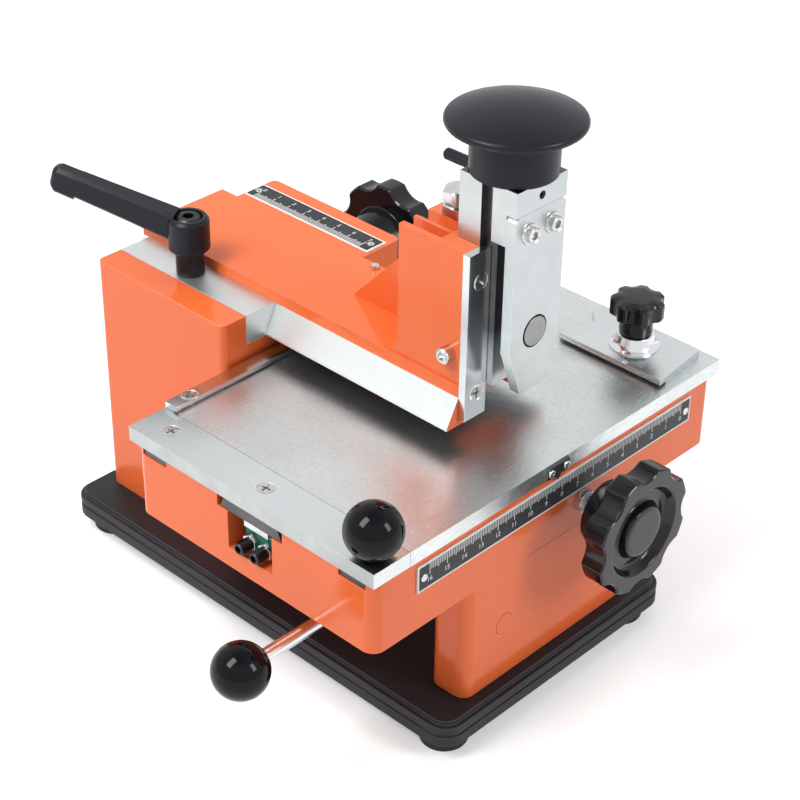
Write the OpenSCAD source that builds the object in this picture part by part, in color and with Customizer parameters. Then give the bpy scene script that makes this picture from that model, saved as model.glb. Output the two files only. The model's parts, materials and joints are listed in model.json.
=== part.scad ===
// Metal tag embossing machine: a cross table under a sliding arm with a hand-pressed ram.
// Millimetres. X runs along the front scale, Y to the back, Z up. The origin is in the middle of
// the base plate's underside.

/* [Base] */
// Width of the base plate
base_w = 147; // [130:1:170]
// Depth of the base plate
base_d = 245; // [235:1:270]
// Thickness of the base plate
base_t = 12; // [8:0.5:18]
// Corner radius of the base plate
base_r = 10; // [6:0.5:20]
// Depth of the groove round the edge of the base plate
base_groove = 1.2; // [0.5:0.1:2]
// How far the base plate shows in front of the bed
base_lip = 7.5; // [4:0.5:12]
// Diameter of a foot
foot_d = 24; // [16:1:32]
// Height of a foot
foot_h = 8; // [5:0.5:14]
// Distance from the edges of the base plate to the middle of a foot
foot_inset = 14.5; // [13:0.5:28]

/* [Pedestal and column] */
// Width of the pedestal and of the column
body_w = 110; // [102:1:124]
// Front-to-back thickness of the pedestal
leg_d = 20.5; // [16:0.5:26]
// Height of the pedestal
leg_h = 57; // [45:1:70]
// Radius of the upright corners of the pedestal
leg_r = 6; // [3:0.5:8]
// Diameter of the plug in the front of the pedestal
plug_d = 10; // [6:0.5:14]
// Front-to-back length of the column
col_d = 84; // [78:1:100]
// Radius of the upright corners of the column
col_r = 3; // [1:0.5:6]
// Gap between the table and the column
col_gap = 2; // [1:0.5:5]
// Height of the arm's slideway above the table
way_rise = 9.2; // [8:0.2:12]
// Wall thickness of the hollow under the column
col_wall = 12; // [8:0.5:16]
// Height of the right-hand ridge above the gib
ridge_rise = 1.2; // [0.4:0.1:2]

/* [Bed] */
// Length of the bed
bed_len = 214; // [204:1:224]
// Depth of the bed
bed_dep = 139.5; // [136:0.5:141]
// Height of the bed
bed_h = 33.6; // [32:0.2:40]
// Wall thickness of the bed
bed_wall = 4.5; // [3.5:0.5:8]
// Floor thickness of the bed
bed_floor = 5; // [3:0.5:8]
// Radius of the upright corners of the bed
bed_r = 6; // [3:0.5:9]
// Sideways offset of the bed from the middle of the base
bed_shift = -2.5; // [-6:0.5:2]
// Width of the guide block along the middle of the bed
block_w = 50; // [46:1:56]
// Width of the feed channel under the table rail
channel_w = 26; // [22:0.5:28]
// Depth of the feed channel below the rail
channel_h = 18; // [17:0.2:20]
// Width of the opening for the rail in the end walls
port_w = 38; // [37:0.5:42]

/* [Table] */
// Length of the table
table_len = 218; // [210:1:230]
// Depth of the table
table_dep = 143; // [140:0.5:150]
// Thickness of the table
table_t = 7; // [5:0.5:10]
// Sideways offset of the table from the middle of the base
table_shift = -1; // [-4:0.5:4]
// Width of the separate strip at the left end of the table
strip_w = 20; // [16:0.5:26]
// Gap between the table and the bed
table_gap = 0.4; // [0.3:0.05:1]
// Width of the table rail at its foot
rail_w = 36; // [32:0.5:37]
// Height of the table rail
rail_h = 6.2; // [5:0.2:7]
// How much narrower the rail is on each side at its top
rail_taper = 2.6; // [1.5:0.1:3.5]
// Width of the flat runners under the front and back of the table
runner_w = 13; // [9:0.5:14]
// Height of the runners
runner_h = 3.6; // [2.5:0.1:5]
// Length of the fence on the back of the table
fence_len = 130; // [100:1:180]
// Width of the fence
fence_w = 7; // [5:0.5:10]
// Thickness of the fence
fence_t = 3; // [2:0.2:5]
// Height of the gap under the fence's front lip
fence_lip = 1; // [0.5:0.1:1.5]
// Diameter of the ball knobs
ball_d = 24.2; // [20:0.2:28]
// Diameter of the studs inside the ball knobs
ball_stud_d = 6; // [5:0.5:8]
// Distance of the table's ball knob from the left and front edges
ball_inset = 8.6; // [7:0.1:10]

/* [Drive] */
// Gear module of the racks and pinions
gear_m = 1; // [0.9:0.05:1.1]
// Teeth on a pinion
pinion_teeth = 16; // [15:1:17]
// Width of a pinion
pinion_w = 12; // [9:0.5:13]
// Width of a rack
rack_w = 14; // [10:0.5:15]
// Backlash between rack and pinion
backlash = 0.2; // [0.1:0.05:0.4]
// Diameter of the handwheel shafts
shaft_d = 8; // [6:0.5:8]
// Length of the table rack
table_rack_len = 182; // [175:1:186]
// Sideways position of the handwheel shaft
wheel_x = 15; // [8:0.5:22]
// Diameter of a handwheel over its lobes
wheel_d = 57; // [48:1:60]
// Thickness of a handwheel's rim
wheel_t = 11; // [9:0.5:18]
// Lobes on a handwheel
wheel_lobes = 8; // [6:1:10]
// Depth of the hollows between the lobes
lobe_depth = 3; // [2:0.2:4]
// Diameter of the domed boss behind a handwheel
wheel_boss_d = 34; // [26:1:38]
// Diameter of the boss at its foot
wheel_foot_d = 28; // [20:1:30]
// Length of the boss behind a handwheel
wheel_boss_l = 12; // [6:0.5:14]
// Bare shaft in front of the bed
wheel_reach = 11; // [8:0.5:16]
// Bare shaft beside the column
rear_reach = 8; // [6:0.5:14]
// Distance of the arm's shaft behind the front of the column
rear_shaft_y = 31; // [26:0.5:40]
// Diameter of a shaft bush
bush_d = 10.4; // [9.6:0.2:10.6]
// Length of a shaft bush outside its wall
bush_out = 4; // [2:0.5:5]

/* [Arm] */
// Sideways position of the middle of the arm
arm_x = 1; // [-2:0.5:3]
// Width of the arm
arm_w = 49; // [46:0.5:52]
// How far the dovetail reaches out on each side
dove_out = 6.5; // [5:0.1:8]
// Height of the dovetail
dove_h = 13.5; // [12:0.1:15]
// Height of the upright land at the foot of the dovetail
dove_land = 1.2; // [0.8:0.1:2]
// Height of the arm above the dovetail
lip_h = 5.5; // [4:0.1:7]
// Length of the arm
arm_len = 197; // [190:1:205]
// Distance from the front of the bed to the front of the head
head_y = 36.6; // [34:0.2:40]
// Distance that the arm slides back
arm_travel = 90; // [70:1:92]
// Width of the gib at its foot
gib_w = 11; // [9:0.2:14]

/* [Head] */
// Height of the head above the table
head_h = 89.3; // [84:0.2:96]
// Depth of the head's housing
house_d = 15.4; // [15.2:0.1:18]
// Distance that the ribs reach behind the housing
rib_reach = 20.3; // [16:0.1:24]
// How far the outer walls stand inside the arm's edge
wall_inset = 1; // [0.4:0.1:2]
// Thickness of the outer walls
wall_t = 3; // [2.4:0.1:4]
// Thickness of the inner ribs
rib_t = 1.9; // [1.6:0.1:3]
// Width of the pockets between the outer walls and the inner ribs
pocket_w = 5.6; // [4:0.1:6]
// Width of the boss under the stop bolt
boss_w = 12.4; // [11:0.2:16]
// Height of the boss under the stop bolt
boss_h = 15; // [12:0.5:20]
// Thickness of the web down the middle of the head's back
web_t = 3.8; // [3:0.1:6]
// Distance that the web's foot reaches behind the ribs
web_reach = 47; // [35:0.5:50]
// Radius of the fillet behind the foot of an outer wall
wall_fillet = 8; // [4:0.5:12]
// Width of a guide strip
guide_w = 12.5; // [11:0.1:13]
// Thickness of a guide strip
guide_t = 3.5; // [3:0.1:4]
// Gap between the guide strips and the table
guide_rise = 12.5; // [10:0.1:15]

/* [Ram] */
// Width of the ram
ram_w = 29.7; // [28:0.1:31]
// Depth of the ram behind the guide strips
ram_back = 11.6; // [11:0.1:13]
// Depth of the ram in front of the guide strips
ram_front = 14.4; // [13:0.1:16]
// Height of the foot of the ram above the table
ram_rise = 26; // [22:0.5:30]
// Height of the top of the ram above the table
ram_top_rise = 118.5; // [114:0.5:124]
// Height of the ram's front block
block_h = 24.7; // [22:0.1:28]
// Thickness of the front plate
plate_t = 5; // [4:0.1:6]
// Height of the front plate
plate_h = 82.5; // [76:0.5:84]
// Height of the taper at the foot of the front plate
plate_taper = 21; // [16:0.5:26]
// Width of the foot of the front plate
plate_tip = 15; // [10:0.5:20]
// Size of the cut corners at the top of the front plate
plate_corner = 2; // [1:0.2:4]
// Diameter of the front plate's screw heads
plate_head_d = 6.6; // [5:0.2:7]
// Height of the front plate's screw heads
plate_head_h = 2; // [1.4:0.1:3]
// Diameter of the washers under the front plate's screws
plate_washer_d = 9; // [8:0.2:10]
// Thickness of the washers under the front plate's screws
plate_washer_t = 1; // [0.6:0.1:1.6]
// Width of the gap behind the front plate where a type stamp slides in
stamp_gap = 6.4; // [5.5:0.1:7]
// Diameter of the disc magnet
magnet_d = 14.4; // [10:0.2:16]
// Height of the disc magnet above the foot of the front plate
magnet_rise = 27; // [23:0.5:34]
// Distance that the ram can be pressed down
ram_travel = 9.5; // [6:0.5:11]
// Diameter of the palm knob
palm_d = 56.5; // [50:0.5:62]
// Diameter of the palm knob's neck
palm_neck_d = 36; // [32:0.5:40]
// Height of the palm knob
palm_h = 29; // [26:0.5:34]
// Thickness of the palm knob's rim
palm_rim = 4; // [3:0.2:6]
// Size of the flare between the palm knob's neck and its rim
palm_flare = 3; // [1:0.5:5]
// Diameter of the stud under the palm knob
palm_stud_d = 10; // [8:0.5:12]
// Diameter of the depth peg
peg_d = 5; // [4:0.2:6]
// Distance from the top of the ram to the depth peg
peg_drop = 5.2; // [4:0.1:7]
// Diameter of the wire of the return spring
spring_wire = 1; // [0.8:0.05:1.2]
// Outer diameter of the return spring
spring_d = 7.4; // [6.5:0.1:7.6]
// Turns of the return spring
spring_turns = 11; // [8:1:13]
// Length of the return spring
spring_len = 36; // [33:0.5:42]
// Height of the spring's cross screw above the table
spring_rise = 41.4; // [40:0.2:46]
// Distance of the spring's cross screw behind the front of the head
spring_y = 6.6; // [6.4:0.1:7]
// Diameter of the spring's cross screw
cross_d = 5; // [4:0.5:5.5]

/* [Clamps] */
// Distance of the clamp lever behind the front of the column
lever_y = 46; // [40:0.5:60]
// Length of the clamp lever
lever_len = 60; // [45:1:70]
// Direction of the clamp lever, from the X axis
lever_angle = 119.5; // [105:0.5:135]
// Rise of the clamp lever's handle
lever_tilt = 17; // [10:0.5:22]
// Diameter of the clamp lever's hub
lever_hub_d = 18.8; // [16:0.2:20]
// Diameter of the clamp lever's stem
lever_stem_d = 12.8; // [11:0.2:14]
// Height of the clamp lever's stem
lever_stem_h = 10.8; // [9:0.2:14]
// Height of the clamp lever's hub
lever_hub_h = 17; // [14:0.5:20]
// Height of the clamp lever's arm at its hub
lever_arm_h = 14; // [10:0.5:16]
// Width of the clamp lever's arm at its hub
lever_arm_w = 10; // [8:0.5:12]
// Height of the clamp lever's arm at its end
lever_end_h = 11; // [8:0.5:13]
// Width of the clamp lever's arm at its end
lever_end_w = 8.4; // [6:0.2:10]
// Size of the cut corners on the clamp lever
lever_edge = 1.6; // [1:0.1:2.4]
// Length of the thicker end of the clamp lever's arm
lever_nib_l = 10; // [6:0.5:14]
// Step under the thicker end of the clamp lever's arm
lever_nib = 0.8; // [0.4:0.1:1.4]
// Diameter of the clamp lever's stud
lever_stud_d = 8; // [6:0.5:8]
// Sideways distance of the clamp knob from the right edge of the table
knob_inset = 22; // [18:0.5:26]
// Distance of the clamp knob from the front of the table
knob_y = 31; // [28:0.5:36]
// Diameter of the clamp knob
knob_d = 24.4; // [20:0.2:28]
// Lobes on the clamp knob
knob_lobes = 7; // [5:1:8]
// Height of the clamp knob's lobed head
knob_h = 10; // [8:0.5:15]
// Diameter of the clamp knob's neck
knob_neck_d = 15; // [11:0.5:16]
// Height of the clamp knob's neck
knob_neck_h = 8; // [5:0.5:10]
// Diameter of the bright cup washer under the clamp knob
washer_d = 22.7; // [18:0.1:25]
// Height of the bright cup washer
washer_h = 6.6; // [3:0.2:8]
// Diameter of the clamp knob's stud
knob_stud_d = 6; // [5:0.5:8]
// Thickness of the clamp plate
clamp_t = 4; // [3:0.2:5]
// Length of the clamp plate in front of the stud
clamp_front = 27; // [22:0.5:28]
// Length of the clamp plate behind the stud
clamp_back = 32; // [26:0.5:36]
// Width of the clamp plate on the left of the stud
clamp_left = 16; // [13:0.5:20]
// Width of the clamp plate on the right of the stud
clamp_right = 17; // [14:0.5:18]

/* [Feed lever] */
// Distance of the feed lever's pivot from the left end of the bed
feed_pivot_in = 40; // [32:0.5:46]
// Distance of the feed lever behind the front of the bed
feed_y = 38; // [32:0.5:42]
// Distance of the feed lever's rod below the bed
feed_drop = 8; // [7:0.2:12]
// Reach of the feed lever from its pivot to its ball knob
feed_len = 75; // [66:0.5:85]
// Diameter of the feed lever's rod
feed_rod_d = 6; // [5:0.5:7]
// Diameter of the feed lever's hub
feed_hub_d = 18; // [14:0.5:20]
// Diameter of the feed lever's pivot
feed_pin_d = 8; // [6:0.5:9]

/* [Scales and small parts] */
// Width of a scale plate
scale_w = 12.8; // [10:0.2:13]
// Thickness of a scale plate
scale_t = 0.8; // [0.5:0.1:1.2]
// Length of the front scale plate
front_scale_len = 174; // [168:1:180]
// Sideways position of the middle of the front scale plate
front_scale_x = 1; // [-4:0.5:4]
// Distance from the top of the bed to the front scale plate
front_scale_drop = 2.3; // [1.8:0.1:2.4]
// Length of the top scale plate
top_scale_len = 82; // [76:1:83]
// Diameter of the countersunk screws
screw_d = 8; // [6:0.2:9]
// Diameter of the small screws on scales and pointer
tiny_d = 3.6; // [2.6:0.2:4]
// Width across the flats of the stop bolt
stop_af = 13; // [10:0.5:14]
// Diameter of the stop bolt's shank
stop_d = 8; // [6:0.5:8]
// Height of the stop bolt's head
stop_head = 5.3; // [4:0.1:6.5]
// Height of the stop bolt's lock nut
stop_nut_h = 5; // [4:0.1:6.5]
// Bare shank between the lock nut and the stop bolt's head
stop_bare = 1.2; // [0.6:0.1:3]

/* [Clearances] */
// Gap round a turning shaft
run_gap = 0.05; // [0.03:0.01:0.09]
// Gap beside a sliding face
slide_gap = 0.12; // [0.08:0.01:0.2]
// Gap round a fixed pin, screw or insert
seat_gap = 0.03; // [0.02:0.01:0.06]
// Gap between a turning part and what it turns on
hub_gap = 0.3; // [0.2:0.05:0.5]
// Gap round the cross screw and the spring in the ram
slot_gap = 0.5; // [0.3:0.1:1]
// Room left at the end of a blind hole
blind_gap = 0.5; // [0.3:0.1:1]

/* [Details] */
// Distance from the top of the bed to the handwheel shaft
wheel_drop = 20.9; // [20.7:0.1:22]
// Distance from the slideway to the arm's shaft
rear_drop = 5.2; // [4.4:0.1:6]
// Height of the gib and the column's left wall above the dovetail
gib_rise = 0.8; // [0.4:0.1:1.2]
// Gap between the walls of the bed and the runners
runner_in = 1; // [0.9:0.1:2]
// Gap beside a runner in its notch
notch_gap = 0.8; // [0.4:0.1:1]
// Distance of the stop bolt behind the housing
stop_y = 9; // [8.5:0.5:12]
// Length of the peg past the stop bolt
peg_over = 9; // [6:0.1:12]
// Height of the palm knob's dome
palm_dome = 5.5; // [3:0.5:8]
// Depth of the clamp lever's stud in the gib
lever_stud_in = 7; // [5:0.5:7]
// Thickness of the disc magnet
magnet_t = 3; // [2:0.2:3.6]
// How far the disc magnet stands out of the front plate
magnet_out = 0.4; // [0.2:0.1:0.8]
// Length of the green feed block
feed_block_l = 14; // [10:0.5:20]
// Width of the green feed block
feed_block_w = 19; // [17:0.5:21]
// Height of the green feed block
feed_block_h = 9; // [8:0.2:9]
// Distance of the green feed block from the left end of the bed
feed_block_in = 6.5; // [5:0.5:12]
// Diameter of the socket screw heads on the feed block
block_head_d = 7; // [6:0.2:7.6]
// Length of the socket screw heads on the feed block
block_head_l = 6; // [4:0.5:8]
// Thickness of the nuts on the feed block
block_nut_t = 3; // [2:0.2:4]
// Distance between the socket screws on the feed block
block_screw_gap = 9; // [8.4:0.1:10]
// Width of the pointer
pointer_w = 14; // [12:0.5:18]
// Thickness of the pointer
pointer_t = 1; // [0.6:0.1:1.4]
// Sideways position of the pointer
pointer_x = -3; // [-10:0.5:8]
// Distance that the pointer's tip reaches below the table
pointer_tip = 2; // [1:0.1:2.2]
// Distance between the pointer's screws
pointer_screw_gap = 9.5; // [8:0.1:10]
// Thickness of a rack bar behind its teeth
rack_back = 6; // [4:0.5:8]
// Distance from the left end of the table to its rack
rack_in = 4; // [2:0.5:8]
// Length of a shaft past its pinion
shaft_past = 8; // [5:0.5:12]
// Taper of a foot over its height
foot_taper = 3; // [0:0.5:5]
// Thickness of the round plug in the pedestal
plug_t = 2; // [1:0.2:4]
// Height of the head of the clamp lever's stud
lever_head_h = 4; // [3:0.2:6]
// Height of the head of the feed lever's pivot
pivot_head_h = 4; // [3:0.2:6]
// Depth of the pointer's screw holes in the table
pointer_bite = 4; // [3:0.5:6]
// Height of the heads of the pointer's screws
pointer_head_h = 0.8; // [0.5:0.1:1.2]
// Half the width of the pointer's tip
pointer_half = 2; // [1:0.2:4]
// Width of the relief under the clamp plate
relief_w = 5; // [3:0.5:8]
// Height of the relief under the clamp plate
relief_h = 1.4; // [0.8:0.1:2]
// Wall at the end of a wheel's bore
wheel_cap = 4; // [3:0.5:6]
// Width of a wheel's rim between its lobes and its dish
wheel_rim = 5; // [4:0.5:8]
// Width of a wheel's hub round its shaft
wheel_hub = 7.5; // [4:0.5:8]
// Slope of a wheel's dish
dish_slope = 3; // [1:0.5:5]
// Distance from the top of the dovetail to the lower screws of the guide strips
strip_rise = 1.2; // [0.6:0.1:2]
// Distance from the top of the head to the upper screws of the guide strips
strip_drop = 13.5; // [10:0.5:18]
// Length of the screws of the guide strips in the head
strip_bite = 5; // [4:0.5:7]
// Distance from the column to the index screw
index_in = 16; // [12:1:24]
// Length of the index screw in the arm
index_bite = 2.8; // [2:0.2:4]
// Floor under the hole of the stop bolt
stop_floor = 2; // [1.5:0.1:4]
// Thickness of the cross screw's nut
cross_nut_t = 3; // [2:0.2:5]
// Length of the cross screw's head
cross_head_l = 5; // [3:0.5:8]
// Distance that the front plate hangs below the ram
plate_hang = 1; // [0.5:0.1:2]
// Distance from the top of the front plate to its screws
plate_screw_drop = 8.8; // [7:0.2:12]
// Length of the front plate's screws in the ram
plate_bite = 5; // [4:0.5:7]
// Gap between the ram's block and the guide strips
nose_gap = 2; // [1:0.5:4]
// Length of the ram's stud in the palm knob
stud_h = 14; // [10:0.5:16]
// Distance from the top of the ram to its set screw
set_drop = 5.5; // [3:0.1:6]
// Length of the ram's set screw
set_l = 7; // [5:0.5:9]
// Depth of the stop peg in the ram
peg_in = 9; // [6:0.5:10]
// Length of the stop peg's tapered end
peg_tip = 1.5; // [1:0.1:2]

/* [Hidden] */
// Smoothness of round faces
$fn = 48;
// Overshoot of a cut past a face
cut = 1;
// Rings on the palm knob's dome
palm_steps = 7;
// Levels from the underside of the base plate up
leg_z = base_t;
bed_z = leg_z + leg_h;
bed_top = bed_z + bed_h;
table_z = bed_top + table_gap;
table_top = table_z + table_t;
way_z = table_top + way_rise;
arm_z = way_z + slide_gap;
lip_z = arm_z + dove_h;
arm_top = lip_z + lip_h;
gib_top = lip_z + gib_rise;
ridge_top = gib_top + ridge_rise;
head_top = table_top + head_h;
ram_z = table_top + ram_rise;
ram_top = table_top + ram_top_rise;
// Depths from the front to the back
front_y = base_lip - base_d / 2;
rail_y = front_y + bed_dep / 2;
bed_back = front_y + bed_dep;
table_front = front_y - table_gap;
table_back = table_front + table_dep;
col_y = max(table_back, bed_back) + col_gap;
col_mid = col_y + col_d / 2;
head_front = front_y + head_y;
house_back = head_front + house_d;
rib_back = house_back + rib_reach;
ram_rear = head_front + slide_gap + ram_back;
guide_front = head_front - guide_t;
ram_nose = guide_front - ram_front;
ram_mid = (ram_nose + ram_rear) / 2;
web_front = ram_nose + plate_t + stamp_gap;
// Widths
bed_x = bed_shift - bed_len / 2;
table_x = table_shift - table_len / 2;
dove_half = arm_w / 2 + dove_out;
gib_out = dove_half + slide_gap + gib_w;
lever_x = arm_x - (gib_out + arm_w / 2 + slide_gap) / 2;
scale_x = (arm_x + arm_w / 2 + body_w / 2) / 2;
web_half = arm_w / 2 - guide_w - 2 * slide_gap;
// Table guide and feed channel
rail_z = table_z - rail_h;
groove_z = rail_z - slide_gap;
channel_z = groove_z - channel_h;
runner_z = table_z - runner_h;
runner_front = front_y + bed_wall + runner_in + runner_w / 2;
runner_rear = min(bed_back - bed_wall - runner_in, table_back) - runner_w / 2;
// Gears
pitch_r = gear_m * pinion_teeth / 2;
tooth_add = 0.9 * gear_m;
tooth_ded = 1.25 * gear_m;
tip_r = pitch_r + tooth_add;
pressure = 20;
shaft_z = bed_top - wheel_drop;
rear_z = way_z - rear_drop;
rear_y = col_y + rear_shaft_y;
arm_rack_back = rear_z + pitch_r + tooth_ded + rack_back;
pitch = PI * gear_m;
// Clamp knob on the table
knob_x = table_x + table_len - knob_inset;
stud_y = table_front + knob_y;
clamp_top = table_top + clamp_t;
washer_top = clamp_top + washer_h;
// Stop bolt, peg and spring
bolt_y = house_back + stop_y;
nut_top = head_top + stop_nut_h;
bolt_top = nut_top + stop_bare + stop_head;
peg_z = ram_top - peg_drop;
cross_y = head_front + spring_y;
cross_z = table_top + spring_rise;
spring_z = cross_z + cross_d / 2;
spring_top = spring_z + spring_len;
// Feed lever
pivot_x = bed_x + feed_pivot_in;
pivot_y = front_y + feed_y;
feed_z = bed_z - feed_drop;
hub_half = feed_drop - hub_gap;
// Feed block
block_x = bed_x + feed_block_in;
block_screw_z = channel_z + feed_block_h / 2;

// Rounded plate standing on z = 0
module round_plate(w, d, h, r) {
    translate([-w / 2 + r, -d / 2, 0]) cube([w - 2 * r, d, h]);
    translate([-w / 2, -d / 2 + r, 0]) cube([w, d - 2 * r, h]);
    for (x = [-1, 1], y = [-1, 1])
        translate([x * (w / 2 - r), y * (d / 2 - r), 0]) cylinder(h = h, r = r);
}

// Box from low corner to high corner
module span(a, b) {
    translate(a) cube(b - a);
}

// Round bar along Y from y to y + l
module bar_y(x, y, z, l, d) {
    translate([x, y, z]) rotate([-90, 0, 0]) cylinder(h = l, d = d);
}

// Round bar along X from x to x + l
module bar_x(x, y, z, l, d) {
    translate([x, y, z]) rotate([0, 90, 0]) cylinder(h = l, d = d);
}

// Outline in X and Z drawn along Y from y to y + l
module along_y(y, l, points) {
    translate([0, y + l, 0]) rotate([90, 0, 0]) linear_extrude(height = l) polygon(points);
}

// Outline in Y and Z drawn along X from x to x + l
module along_x(x, l, points) {
    translate([x, 0, 0]) rotate([90, 0, 90]) linear_extrude(height = l) polygon(points);
}

// Lobed grip standing on z = 0
module lobed(d, h, n, depth) {
    hollow_r = d * PI / n / 2;
    difference() {
        cylinder(h = h, d = d);
        for (i = [0 : n - 1])
            rotate([0, 0, i * 360 / n]) translate([d / 2 - depth + hollow_r, 0, -cut])
                cylinder(h = h + 2 * cut, r = hollow_r);
    }
}

// Angle between the tooth's middle and its flank at radius r
base_r_gear = pitch_r * cos(pressure);
half_angle = (pitch / 2 - backlash) / 2 / pitch_r * 180 / PI;
function involute(r) = tan(acos(base_r_gear / r)) * 180 / PI - acos(base_r_gear / r);
function flank(r) = half_angle + involute(pitch_r) - involute(max(r, base_r_gear));

// Pinion along Z with a tooth on the X axis
module pinion() {
    root_r = pitch_r - tooth_ded;
    radii = [root_r, base_r_gear, (base_r_gear + pitch_r) / 2, pitch_r, (pitch_r + tip_r) / 2, tip_r];
    steps = len(radii) - 1;
    points = [for (t = [0 : pinion_teeth - 1], s = [-1, 1], i = [0 : steps])
        let (r = radii[s < 0 ? i : steps - i], a = t * 360 / pinion_teeth + s * flank(r))
        [r * cos(a), r * sin(a)]];
    difference() {
        translate([0, 0, -pinion_w / 2]) linear_extrude(height = pinion_w) polygon(points);
        translate([0, 0, -pinion_w / 2 - cut]) cylinder(h = pinion_w + 2 * cut, d = shaft_d + 2 * seat_gap);
    }
}

// Rack outline along the first axis, teeth down, pitch line at zero, a gap over the origin
function rack_points(low, high, back) =
    let (lean = tan(pressure), thin = pitch / 4 - backlash / 2,
        first = ceil(low / pitch + 0.5), last = floor(high / pitch - 0.5))
    concat([[low, back], [low, tooth_ded]],
        [for (i = [first : last - 1], k = [0 : 3])
            let (m = (i + 0.5) * pitch, up = (k == 0 || k == 3) ? tooth_ded : -tooth_add,
                w = thin + lean * up, s = k < 2 ? -1 : 1)
            [m + s * w, up]],
        [[high, tooth_ded], [high, back]]);

module base_plate() {
    // Bottom and top of each layer of the edge as shares of the thickness, and how far it stands in
    layers = [[0, 0.42, 0], [0.42, 0.56, base_groove], [0.56, 0.84, 0], [0.84, 1, 2 * base_groove]];
    color("black")
        for (l = layers)
            translate([0, 0, l[0] * base_t])
                round_plate(base_w - 2 * l[2], base_d - 2 * l[2], (l[1] - l[0]) * base_t, base_r - l[2]);
}

module rubber_feet() {
    color("black")
        for (x = [-1, 1], y = [-1, 1])
            translate([x * (base_w / 2 - foot_inset), y * (base_d / 2 - foot_inset), -foot_h])
                cylinder(h = foot_h, d1 = foot_d - foot_taper, d2 = foot_d);
}

plug_x = -body_w * 0.28;
plug_z = leg_z + leg_h / 2;
module pedestal() {
    color("orangered") difference() {
        translate([0, front_y + leg_d / 2, leg_z]) round_plate(body_w, leg_d, leg_h, leg_r);
        bar_y(plug_x, front_y - cut, plug_z, plug_t + cut, plug_d + 2 * seat_gap);
    }
}

module leg_plug() {
    color("orangered") bar_y(plug_x, front_y, plug_z, plug_t, plug_d);
}

// Outline of the table rail, or of its groove when widened by a gap and drawn from low to high
function rail_points(gap, low, high) =
    let (foot = rail_w / 2 + gap, lean = rail_taper / rail_h)
    [[rail_y - foot + lean * low, rail_z + low], [rail_y + foot - lean * low, rail_z + low],
        [rail_y + foot - lean * high, rail_z + high], [rail_y - foot + lean * high, rail_z + high]];

module bed_pocket(y0, y1) {
    span([bed_x + bed_wall, y0, bed_z + bed_floor], [bed_x + bed_len - bed_wall, y1, bed_top + cut]);
}

module bed() {
    right = bed_x + bed_len;
    port_y = port_w / 2;
    color("orangered") difference() {
        union() {
            translate([bed_shift, rail_y, bed_z]) round_plate(bed_len, bed_dep, bed_h, bed_r);
            span([-body_w / 2 + leg_r, bed_back - bed_wall, bed_z], [body_w / 2 - leg_r, col_y, bed_top]);
        }
        bed_pocket(front_y + bed_wall, rail_y - block_w / 2);
        bed_pocket(rail_y + block_w / 2, bed_back - bed_wall);
        along_x(bed_x - cut, bed_len + 2 * cut, rail_points(slide_gap, -slide_gap, rail_h + cut));
        span([bed_x - cut, rail_y - channel_w / 2, channel_z],
            [right + cut, rail_y + channel_w / 2, groove_z + cut]);
        for (x = [bed_x - cut, right - bed_wall])
            span([x, rail_y - port_y, groove_z], [x + bed_wall + cut, rail_y + port_y, bed_top + cut]);
        for (x = [bed_x - cut, right - bed_wall], y = [runner_front, runner_rear])
            span([x, y - runner_w / 2 - notch_gap, runner_z - slide_gap],
                [x + bed_wall + cut, y + runner_w / 2 + notch_gap, bed_top + cut]);
        span([wheel_x - tip_r - cut, rail_y - pinion_w / 2 - cut, shaft_z - tip_r - 2 * hub_gap],
            [wheel_x + tip_r + cut, rail_y + pinion_w / 2 + cut, channel_z + cut]);
        bar_y(wheel_x, front_y - cut, shaft_z, bed_wall + 2 * cut, bush_d + 2 * seat_gap);
        bar_y(wheel_x, front_y, shaft_z, wheel_shaft_end - front_y + cut, shaft_d + 2 * run_gap);
        translate([pivot_x, pivot_y, bed_z - cut])
            cylinder(h = bed_floor + 2 * cut, d = feed_pin_d + 2 * seat_gap);
    }
}

// Outline of the gib, from its foot round to its top
gib_points = [[-gib_out, way_z], [-dove_half - slide_gap, way_z],
    [-dove_half - slide_gap, arm_z + dove_land], [-arm_w / 2 - slide_gap, lip_z],
    [-arm_w / 2 - slide_gap, gib_top], [-gib_out, gib_top]];

// Outline of the slideway between the column's left wall and its right flank
way_points = [[-gib_out - seat_gap, way_z], [dove_half + slide_gap, way_z],
    [dove_half + slide_gap, arm_z + dove_land], [arm_w / 2 + slide_gap, lip_z],
    [arm_w / 2 + slide_gap, ridge_top + cut], [-gib_out - seat_gap, ridge_top + cut]];

hollow_h = (rear_z - tip_r - leg_z) * 0.85;
shaft_left = arm_x - pinion_w / 2 - shaft_past;
module column() {
    color("orangered") difference() {
        union() {
            translate([0, col_mid, leg_z]) round_plate(body_w, col_d, gib_top - leg_z, col_r);
            intersection() {
                translate([0, col_mid, gib_top]) round_plate(body_w, col_d, ridge_rise, col_r);
                span([arm_x, col_y, gib_top], [body_w / 2, col_y + col_d, ridge_top]);
            }
        }
        translate([arm_x, 0, 0]) along_y(col_y - cut, col_d + 2 * cut, way_points);
        span([-body_w / 2 + col_wall, col_y + col_wall, leg_z - cut],
            [body_w / 2 - col_wall, col_y + col_d - col_wall, leg_z + hollow_h]);
        span([arm_x - pinion_w / 2 - cut, rear_y - tip_r - cut, rear_z - tip_r - cut],
            [arm_x + pinion_w / 2 + cut, rear_y + tip_r + cut, way_z + cut]);
        bar_x(shaft_left - cut, rear_y, rear_z, body_w, shaft_d + 2 * run_gap);
        bar_x(body_w / 2 - bed_wall, rear_y, rear_z, bed_wall + cut, bush_d + 2 * seat_gap);
    }
}

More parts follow.
